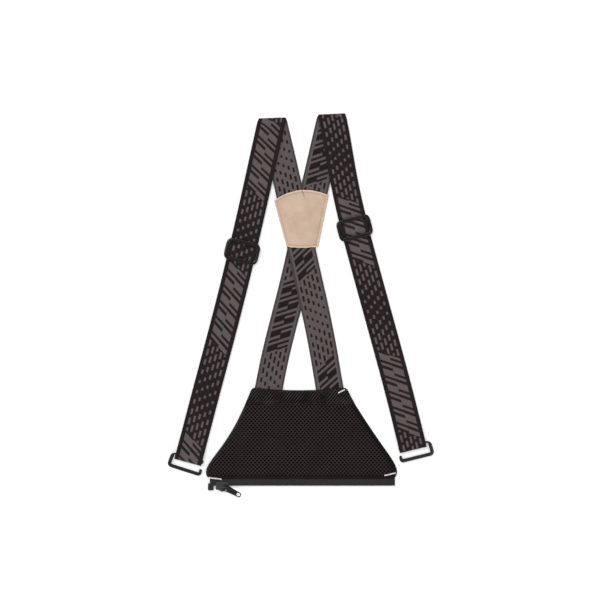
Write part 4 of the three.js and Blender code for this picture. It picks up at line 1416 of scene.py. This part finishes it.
def build_lining():
    node = "panel_back_face"
    low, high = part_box(node)
    plan = panel_grid(high.y, low.y, 4 * MM, corners=5 * MM)
    ripple = 0.08 * MM * soft_noise(plan[..., 0], plan[..., 1], 30 * MM, 8)
    points = with_height(plan, high.z + ripple - 0.08 * MM)
    lining = sheet_mesh("panel_lining", points, high.z - low.z - 0.1 * MM, ["lining"])
    sewn_on(lining, "panel_lining", node)
    area, size = plan_area(plan)


STRAP_ENDS_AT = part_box("left_rear_strap")[0].y  # the straps' lower ends, under the hem


def strap_end_boxes():
    """The four corners, in plan, of the box stitching through each strap's end."""
    boxes = []
    for side in SIDES:
        node = f"{side}_rear_strap"
        top, foot = STRAP_ENDS_AT + 15 * MM, STRAP_ENDS_AT + 2.5 * MM
        middles = []
        for y in (top, foot):
            xs = cut(node, (0, 1, 0), max(y, STRAP_ENDS_AT + 9 * MM))[:, 0]
            middles.append((xs.min() + xs.max()) / 2)
        half = WEB_HALF - 3 * MM
        boxes.append([
            (middles[0] - half, top), (middles[0] + half, top),
            (middles[1] + half, foot), (middles[1] - half, foot),
        ])
    return boxes


HEM_CORNER = 4 * MM  # radius of its top corners
HEM_LIFT = 1.2 * MM  # how much higher its ends stand than its sagging middle


def hem_plan(foot):
    """The hem's plan points, down to its foot."""
    plan = panel_grid(PANEL.top, foot, 0.9 * MM).copy()
    drawn = np.clip(1 - (PANEL.top - plan[..., 1]) / HEM_CORNER, 0, 1)
    middle = (plan[:, :1] + plan[:, -1:])[..., 0] / 2
    half = (plan[:, -1:] - plan[:, :1])[..., 0] / 2
    narrower = 1 - HEM_CORNER * (1 - np.sqrt(1 - drawn ** 2)) / half
    plan[..., 0] = middle + (plan[..., 0] - middle) * narrower
    across = np.linspace(0, math.pi, plan.shape[1])
    near_top = smoothstep(plan[..., 1], PANEL.sag_ends, PANEL.top)
    plan[..., 1] += HEM_LIFT * (1 - np.sin(across)) * near_top
    return plan


def pucker_at_strap_ends(plan):
    """How far the hem stands up, in wrinkles, over the strap ends that are sewn into it."""
    pucker = np.zeros(plan.shape[:2])
    wrinkle = soft_noise(plan[..., 0] - 0.7 * plan[..., 1], plan[..., 1] * 0.5, 11 * MM, 21)
    for corners in strap_end_boxes():
        corners = np.array(corners)
        inside_x = smoothstep(plan[..., 0], corners[0, 0] - 4 * MM, corners[0, 0] + 1 * MM)
        inside_x *= 1 - smoothstep(plan[..., 0], corners[1, 0] - 1 * MM, corners[1, 0] + 4 * MM)
        inside_y = 1 - smoothstep(np.abs(plan[..., 1] - corners[:, 1].mean()), 7 * MM, 11 * MM)
        pucker += inside_x * inside_y * (0.5 * MM + 0.9 * MM * wrinkle)
    return pucker


def hem_stitching(hem, foot):
    """A crossed box through each strap end, and the hem's two seams."""
    on_hem = surface_of(hem)
    rows = []
    for k, corners in enumerate(strap_end_boxes()):
        outline = [corners[i] for i in (0, 1, 2, 3, 0, 2, 3, 1)]
        rows.append(sewn_line(f"strap_end_box_stitching_{k + 1}", outline, on_hem, "black_thread"))
    for label, inset in (("seam", 2.2 * MM), ("turned_edge", 21.5 * MM)):
        y = np.array(foot + inset)
        ends = [tuple(PANEL.points(np.array(u), y)) for u in np.linspace(0.02, 0.98, 30)]
        rows.append(sewn_line(f"hem_{label}_stitching", ends, on_hem, "black_thread"))
    return rows


def build_hem():
    """The hem that holds the strap ends, puckered where they are sewn in."""
    node = "panel_top_hem"
    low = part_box(node)[0]
    thickness = 1.0 * MM
    plan = hem_plan(low.y)
    rim = edge_distance(plan)
    fall = 0.5 * MM * np.clip(1 - rim / (1.6 * MM), 0, 1) ** 2
    wavy = 0.12 * MM * soft_noise(plan[..., 0], plan[..., 1], 15 * MM, 5)
    pucker = np.maximum(pucker_at_strap_ends(plan), -0.3 * MM)
    height = low.z + thickness - fall + wavy + pucker
    hem = sheet_mesh("top_hem", with_height(plan, height), thickness, ["hem"])
    sewn_on(hem, "air_mesh", node)
    rows = hem_stitching(hem, low.y)
    area, size = plan_area(plan)
    return hem


def sewn_line(name, corners, surface, material, pitch=3.2 * MM, length=2.3 * MM, radius=0.3 * MM):
    """Stitches along straight legs between plan points, lying on a surface."""
    corners = np.array(corners, float)
    path = resampled(corners, max(2, int(lengths(corners)[-1] / (1.0 * MM))))
    heights = surface(path)
    known = ~np.isnan(heights)
    path = np.column_stack([path[known], heights[known] + 0.1 * MM])
    stitches = stitch_row(name, path, pitch, length, radius, material)
    return sewn_on(stitches, "white_thread" if material == "white_thread" else "air_mesh")


LEFT_TACK_TURN = -0.13  # in radians, because it was sewn a little askew


def bar_tack(name, node, surface, turn=0.0):
    """A dense zigzag of white thread along the long axis of its CAD node, lying on a surface."""
    cloud = np.unique(np.round(edge_ends(node)[0], 7), axis=0)
    middle = cloud.mean(0)
    axis = np.linalg.svd((cloud - middle)[:, :2])[2][0]
    reach = np.abs((cloud - middle)[:, :2] @ axis).max()
    axis = np.array([axis[0] - turn * axis[1], axis[1] + turn * axis[0]]) / math.hypot(1, turn)
    aside = np.array([-axis[1], axis[0]])
    pitch = 0.42 * MM
    count = int(2 * reach / pitch)
    offsets = np.linspace(-reach, reach, count)[:, None]
    swing = np.where(np.arange(count) % 2, 1.15 * MM, -1.15 * MM)[:, None]
    path = middle[:2] + axis * offsets + aside * swing
    path += aside * (0.25 * MM * np.sin(offsets / (3.1 * MM)))
    heights = surface(path)
    heights = np.where(np.isnan(heights), np.nanmax(heights), heights)
    heights = np.maximum(heights, np.maximum(np.roll(heights, 1), np.roll(heights, -1)))
    path = np.column_stack([path, heights + 0.3 * MM])
    thread = sweep(name, resampled(path, count * 3), 0.3 * MM, 0.3 * MM, "white_thread", sides=6)
    return sewn_on(thread, "white_thread", node)


# ---------------------------------------------------------------- zipper

def build_tape():
    node = "zipper_tape"
    low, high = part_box(node)
    thickness = 0.6 * MM
    cut_corner = 3.5 * MM
    coil_low, coil_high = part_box("zipper_coil")
    ys = np.concatenate([np.linspace(high.y, low.y, 26), np.linspace(low.y, coil_low.y, 9)[1:]])
    shown = np.clip(ys, low.y + 0.05 * MM, high.y - 0.05 * MM)
    heights = np.array([cut(node, (0, 1, 0), y)[:, 2].max() for y in shown])
    over_coil = coil_high.z + 0.1 * MM
    heights += (over_coil - heights) * smoothstep(ys, low.y + 2.5 * MM, low.y + 0.3 * MM)
    heights -= 0.5 * MM * smoothstep(ys, coil_low.y + 1.2 * MM, coil_low.y)
    xs = np.linspace(0, 1, 270)
    right = high.x - cut_corner * smoothstep(ys, coil_low.y + cut_corner, coil_low.y)
    plan = np.stack([low.x + (right[:, None] - low.x) * xs, np.tile(ys[:, None], xs.size)], -1)
    droop = smoothstep(ys, low.y + 8 * MM, low.y)[:, None]
    ripple = 0.1 * MM * soft_noise(plan[..., 0], plan[..., 1], 40 * MM, 12) * droop
    tape = sheet_mesh("zipper_tape_cloth", with_height(plan, heights[:, None] + ripple), thickness, ["tape"])
    sewn_on(tape, "zipper_tape", node)
    row = sewn_line(
        "zipper_tape_stitching", [(low.x + 6 * MM, low.y - 0.6 * MM), (high.x - 6 * MM, low.y - 0.6 * MM)],
        surface_of(tape), "black_thread", radius=0.22 * MM,
    )
    area, size = plan_area(plan)
    return tape


def build_coil():
    """The coil of one half of the zipper: a flattened helix round a cord."""
    low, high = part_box("zipper_coil")
    high.z -= 0.6 * MM
    wire = 0.42 * MM
    pitch = 1.35 * MM
    steps = 14
    turns = int((high.x - low.x - 2 * wire) / pitch)
    angle = np.arange(turns * steps) / steps * 2 * math.pi
    x = low.x + wire + np.arange(turns * steps) / steps * pitch
    middle = (low + high) / 2
    y = middle.y + (high.y - low.y - 2 * wire) / 2 * np.cos(angle)
    z = middle.z + (high.z - low.z - 2 * wire) / 2 * np.sin(angle)
    coil = sweep("zipper_coil_helix", np.stack([x, y, z], 1), wire, wire, "zip_plastic", sides=6)
    sewn_on(coil, "zipper_plastic", "zipper_coil")
    line = [(low.x + 1 * MM, middle.y, middle.z), (high.x - 1 * MM, middle.y, middle.z)]
    core = sweep("zipper_coil_cord", resampled(line, 40), 0.9 * MM, 0.6 * MM, "tape", sides=10)
    sewn_on(core, "zipper_tape")


def box_outline(low, high, radius):
    """A box's outline in plan, with rounded corners."""
    corners = [(low.x, low.y), (high.x, low.y), (high.x, high.y), (low.x, high.y)]
    return rounded_corners(corners, radius, closed=True)


def build_stops():
    """The retainer box at the zipper's foot, with two ribs, and the stop at its other end."""
    low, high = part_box("zipper_retainer_box")
    outline = box_outline(low, high, 1.2 * MM)
    body = plate("box", [outline], low.z, high.z - 0.7 * MM, 0.5 * MM, "zip_plastic")
    parts = [body]
    for share in (0.3, 0.7):
        x = low.x + (high.x - low.x) * share
        rib = [(x, low.y + 1.2 * MM, high.z - 0.9 * MM), (x, high.y - 1.2 * MM, high.z - 0.9 * MM)]
        parts.append(sweep("rib", resampled(rib, 12), 0.9 * MM, 0.8 * MM, "zip_plastic", sides=12, power=0.8))
    box = fused("zipper_retainer", parts, 0.28 * MM, 3, "zip_plastic")
    sewn_on(box, "zipper_plastic", "zipper_retainer_box")
    low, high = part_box("zipper_top_stop")
    outline = box_outline(low, high, 0.7 * MM)
    stop = plate("top_stop", [outline], low.z, high.z, 0.6 * MM, "zip_plastic")
    for polygon in stop.data.polygons:
        polygon.use_smooth = True
    sewn_on(stop, "zipper_plastic", "zipper_top_stop")


SLIDER_PULL = JOINTS["pull_flip"]


def slider_outline(half_x, half_y):
    """The slider's plates in plan: straight along the tape, and bulging at their foot."""
    round_foot = 5.4 * MM
    bump = [
        (round_foot * math.cos(a), round_foot * (math.sin(a) + 1) - half_y)
        for a in np.linspace(-2.6, -0.54, 11)
    ]
    outline = [
        (-half_x, half_y - 1.5 * MM), (-half_x, -half_y + 2.6 * MM), *bump,
        (half_x, -half_y + 2.6 * MM), (half_x, half_y - 2.5 * MM),
        (half_x - 2.5 * MM, half_y), (-half_x + 2 * MM, half_y),
    ]
    return rounded_corners(outline, 1.2 * MM, closed=True, steps=3)


def slider_bail(foot, top):
    """The arch that holds the pull, from its feet on the upper plate to the slider's top."""
    middle = 3 * MM
    bail = [
        (middle - 5 * MM, 0, foot), (middle - 4.6 * MM, 0, top - 0.75 * MM),
        (middle + 2.4 * MM, 0, top - 0.75 * MM), (middle + 2.8 * MM, 0, foot),
    ]
    bail = resampled(rounded_corners(bail, 2.2 * MM), 40)
    return sweep("bail", bail, 1.2 * MM, 0.72 * MM, "slider", sides=14, power=0.7, up=(0, 1, 0))


def build_slider():
    """The slider: two plates with lips round the coil, a web between them, and a bail for the pull."""
    low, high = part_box("zipper_slider")
    half_x = (high.x - low.x) / 2
    half_y = (high.y - low.y) / 2
    plate_height = 0.9 * MM
    gap_top = 3.9 * MM
    outline = slider_outline(half_x, half_y)
    parts = [
        plate("lower", [outline], 0, plate_height, 0.3 * MM, "slider"),
        plate("upper", [outline], gap_top, gap_top + plate_height, 0.35 * MM, "slider"),
    ]
    web = [(-half_x + 1 * MM, -1.8 * MM, 2.4 * MM), (half_x - 1 * MM, -1.8 * MM, 2.4 * MM)]
    parts.append(sweep("web", resampled(web, 12), 1.15 * MM, 2.1 * MM, "slider", power=0.5))
    for y in (half_y - 0.9 * MM, -half_y + 5.0 * MM):
        for z in (1.1 * MM, 3.7 * MM):
            lip = [(-half_x + 1.4 * MM, y, z), (half_x - 2.4 * MM, y, z)]
            parts.append(sweep("lip", resampled(lip, 12), 0.8 * MM, 0.5 * MM, "slider", power=0.6))
    parts.append(slider_bail(gap_top + 0.4 * MM, high.z - low.z))
    slider = fused("zipper_slider_body", parts, 0.3 * MM, 3, "slider")
    middle = (low + high) / 2
    placed(slider, Matrix.Translation((middle.x, middle.y, low.z)))
    stand_in(slider, "slider_metal", "zipper_slider", body="zipper_slider")


def mirrored_outline(side, radius):
    """A closed outline with rounded corners, from the corners on its one side."""
    return rounded_corners([*side, *[(x, -y) for x, y in reversed(side)]], radius, closed=True)


def build_pull():
    """The pull: a tapering tab with a window at the bail and a rounder hole at its tip."""
    start, waist, length = -0.8 * MM, 10 * MM, 27.2 * MM
    root_half, waist_half, tip_half = 5.6 * MM, 4.2 * MM, 3.2 * MM
    outlines = [
        mirrored_outline([(start, -root_half), (waist, -waist_half), (length, -tip_half)], 2.0 * MM),
        mirrored_outline([(0.8 * MM, 1.6 * MM - root_half), (5.3 * MM, -3.2 * MM)], 0.8 * MM),
        mirrored_outline([(20.6 * MM, -2.1 * MM), (25.8 * MM, -1.9 * MM)], 1.4 * MM),
    ]
    tab = plate("tab", outlines, -1 * MM, 1 * MM, 0.45 * MM, "hook")
    grip = resampled([(8.5 * MM, 0, 0.75 * MM), (18.6 * MM, 0, 0.75 * MM)], 14)
    swell = round_ends(np.full(14, 2.0 * MM), lengths(grip), 1.8 * MM)
    ridge = sweep("ridge", grip, swell, 0.55 * MM, "hook", sides=14)
    pull = fused("zipper_pull_tab", [tab, ridge], 0.26 * MM, 2, "hook")
    along = np.cross(-np.array(SLIDER_PULL["axis"]), np.array(UP))
    placed(pull, place_matrix(SLIDER_PULL["pos_m"], along))
    stand_in(pull, "slider_metal", "zipper_pull", body="zipper_pull")


pad = build_pad()
build_lining()
tape = build_tape()
mesh_face = build_mesh_face(pad, tape)
hem = build_hem()
bar_tack("lower_left_tack_thread", "lower_left_bar_tack", surface_of(mesh_face, tape), LEFT_TACK_TURN)
bar_tack("lower_right_tack_thread", "lower_right_bar_tack", surface_of(mesh_face, tape))
bar_tack("upper_right_tack_thread", "upper_right_bar_tack", surface_of(hem))
build_coil()
build_stops()
build_slider()
build_pull()


# ---------------------------------------------------------------- camera, light and floor

PICTURE_WIDTH = 870 * MM  # what the picture's width covers at the object
AIM_FROM_FOLD = (40.1 * MM, -262.3 * MM)  # the picture's middle, from the left shoulder fold
SENSOR, LENS = 36.0, 85.0
FLOOR_REACH = 12.0


def build_camera(scene):
    """Straight above the object."""
    fold_x, fold_y, _ = JOINTS["left_shoulder_fold"]["pos_m"]
    aim = Vector((fold_x + AIM_FROM_FOLD[0], fold_y + AIM_FROM_FOLD[1], 0))
    camera = bpy.data.objects.new("camera", bpy.data.cameras.new("camera"))
    camera.data.lens = LENS
    camera.data.sensor_width = SENSOR
    camera.location = aim + UP * (PICTURE_WIDTH * LENS / SENSOR)
    scene.collection.objects.link(camera)
    bpy.context.scene.camera = camera


def build_floor(scene):
    """White paper, a little luminous, just below the object."""
    paper = bpy.data.materials.new("paper")
    paper.use_nodes = True
    shader = next(n for n in paper.node_tree.nodes if n.type == "BSDF_PRINCIPLED")
    shader.inputs["Base Color"].default_value = (0.93, 0.93, 0.93, 1)
    shader.inputs["Roughness"].default_value = 1.0
    shader.inputs["Specular IOR Level"].default_value = 0.0
    shader.inputs["Emission Color"].default_value = (1, 1, 1, 1)
    shader.inputs["Emission Strength"].default_value = 0.26
    floor = bpy.data.meshes.new("floor")
    corners = [(FLOOR_REACH * x, FLOOR_REACH * y, 0) for x, y in ((-1, -1), (1, -1), (1, 1), (-1, 1))]
    floor.from_pydata(corners, [], [(0, 1, 2, 3)])
    floor.materials.append(paper)
    ground = bpy.data.objects.new("floor", floor)
    ground.location.z = -0.6 * MM
    scene.collection.objects.link(ground)


def build_light(scene):
    """A soft white room that is darker overhead, and two large lamps."""
    world = bpy.data.worlds.new("studio")
    world.use_nodes = True
    background = next(n for n in world.node_tree.nodes if n.type == "BACKGROUND")
    background.inputs["Color"].default_value = (1, 1, 1, 1)
    direction = world.node_tree.nodes.new("ShaderNodeTexCoord")
    height = world.node_tree.nodes.new("ShaderNodeSeparateXYZ")
    world.node_tree.links.new(direction.outputs["Generated"], height.inputs[0])
    dim_overhead = Field(world.node_tree, height.outputs["Z"]).ramp(0.55, 0.85, 1.15, 0.25)
    world.node_tree.links.new(dim_overhead.socket, background.inputs["Strength"])
    scene.world = world
    for name, spot, size, power in (
        ("key_light", (-1.1, 1.3, 2.4), 1.4, 34),
        ("fill_light", (1.4, -0.9, 2.2), 1.6, 11),
    ):
        lamp = bpy.data.objects.new(name, bpy.data.lights.new(name, "AREA"))
        lamp.data.size = size
        lamp.data.energy = power
        lamp.location = spot
        lamp.rotation_euler = (-Vector(spot)).to_track_quat("-Z", "Y").to_euler()
        scene.collection.objects.link(lamp)
    scene.view_settings.view_transform = "Standard"


for build_part in (build_camera, build_floor, build_light):
    build_part(bpy.context.scene)
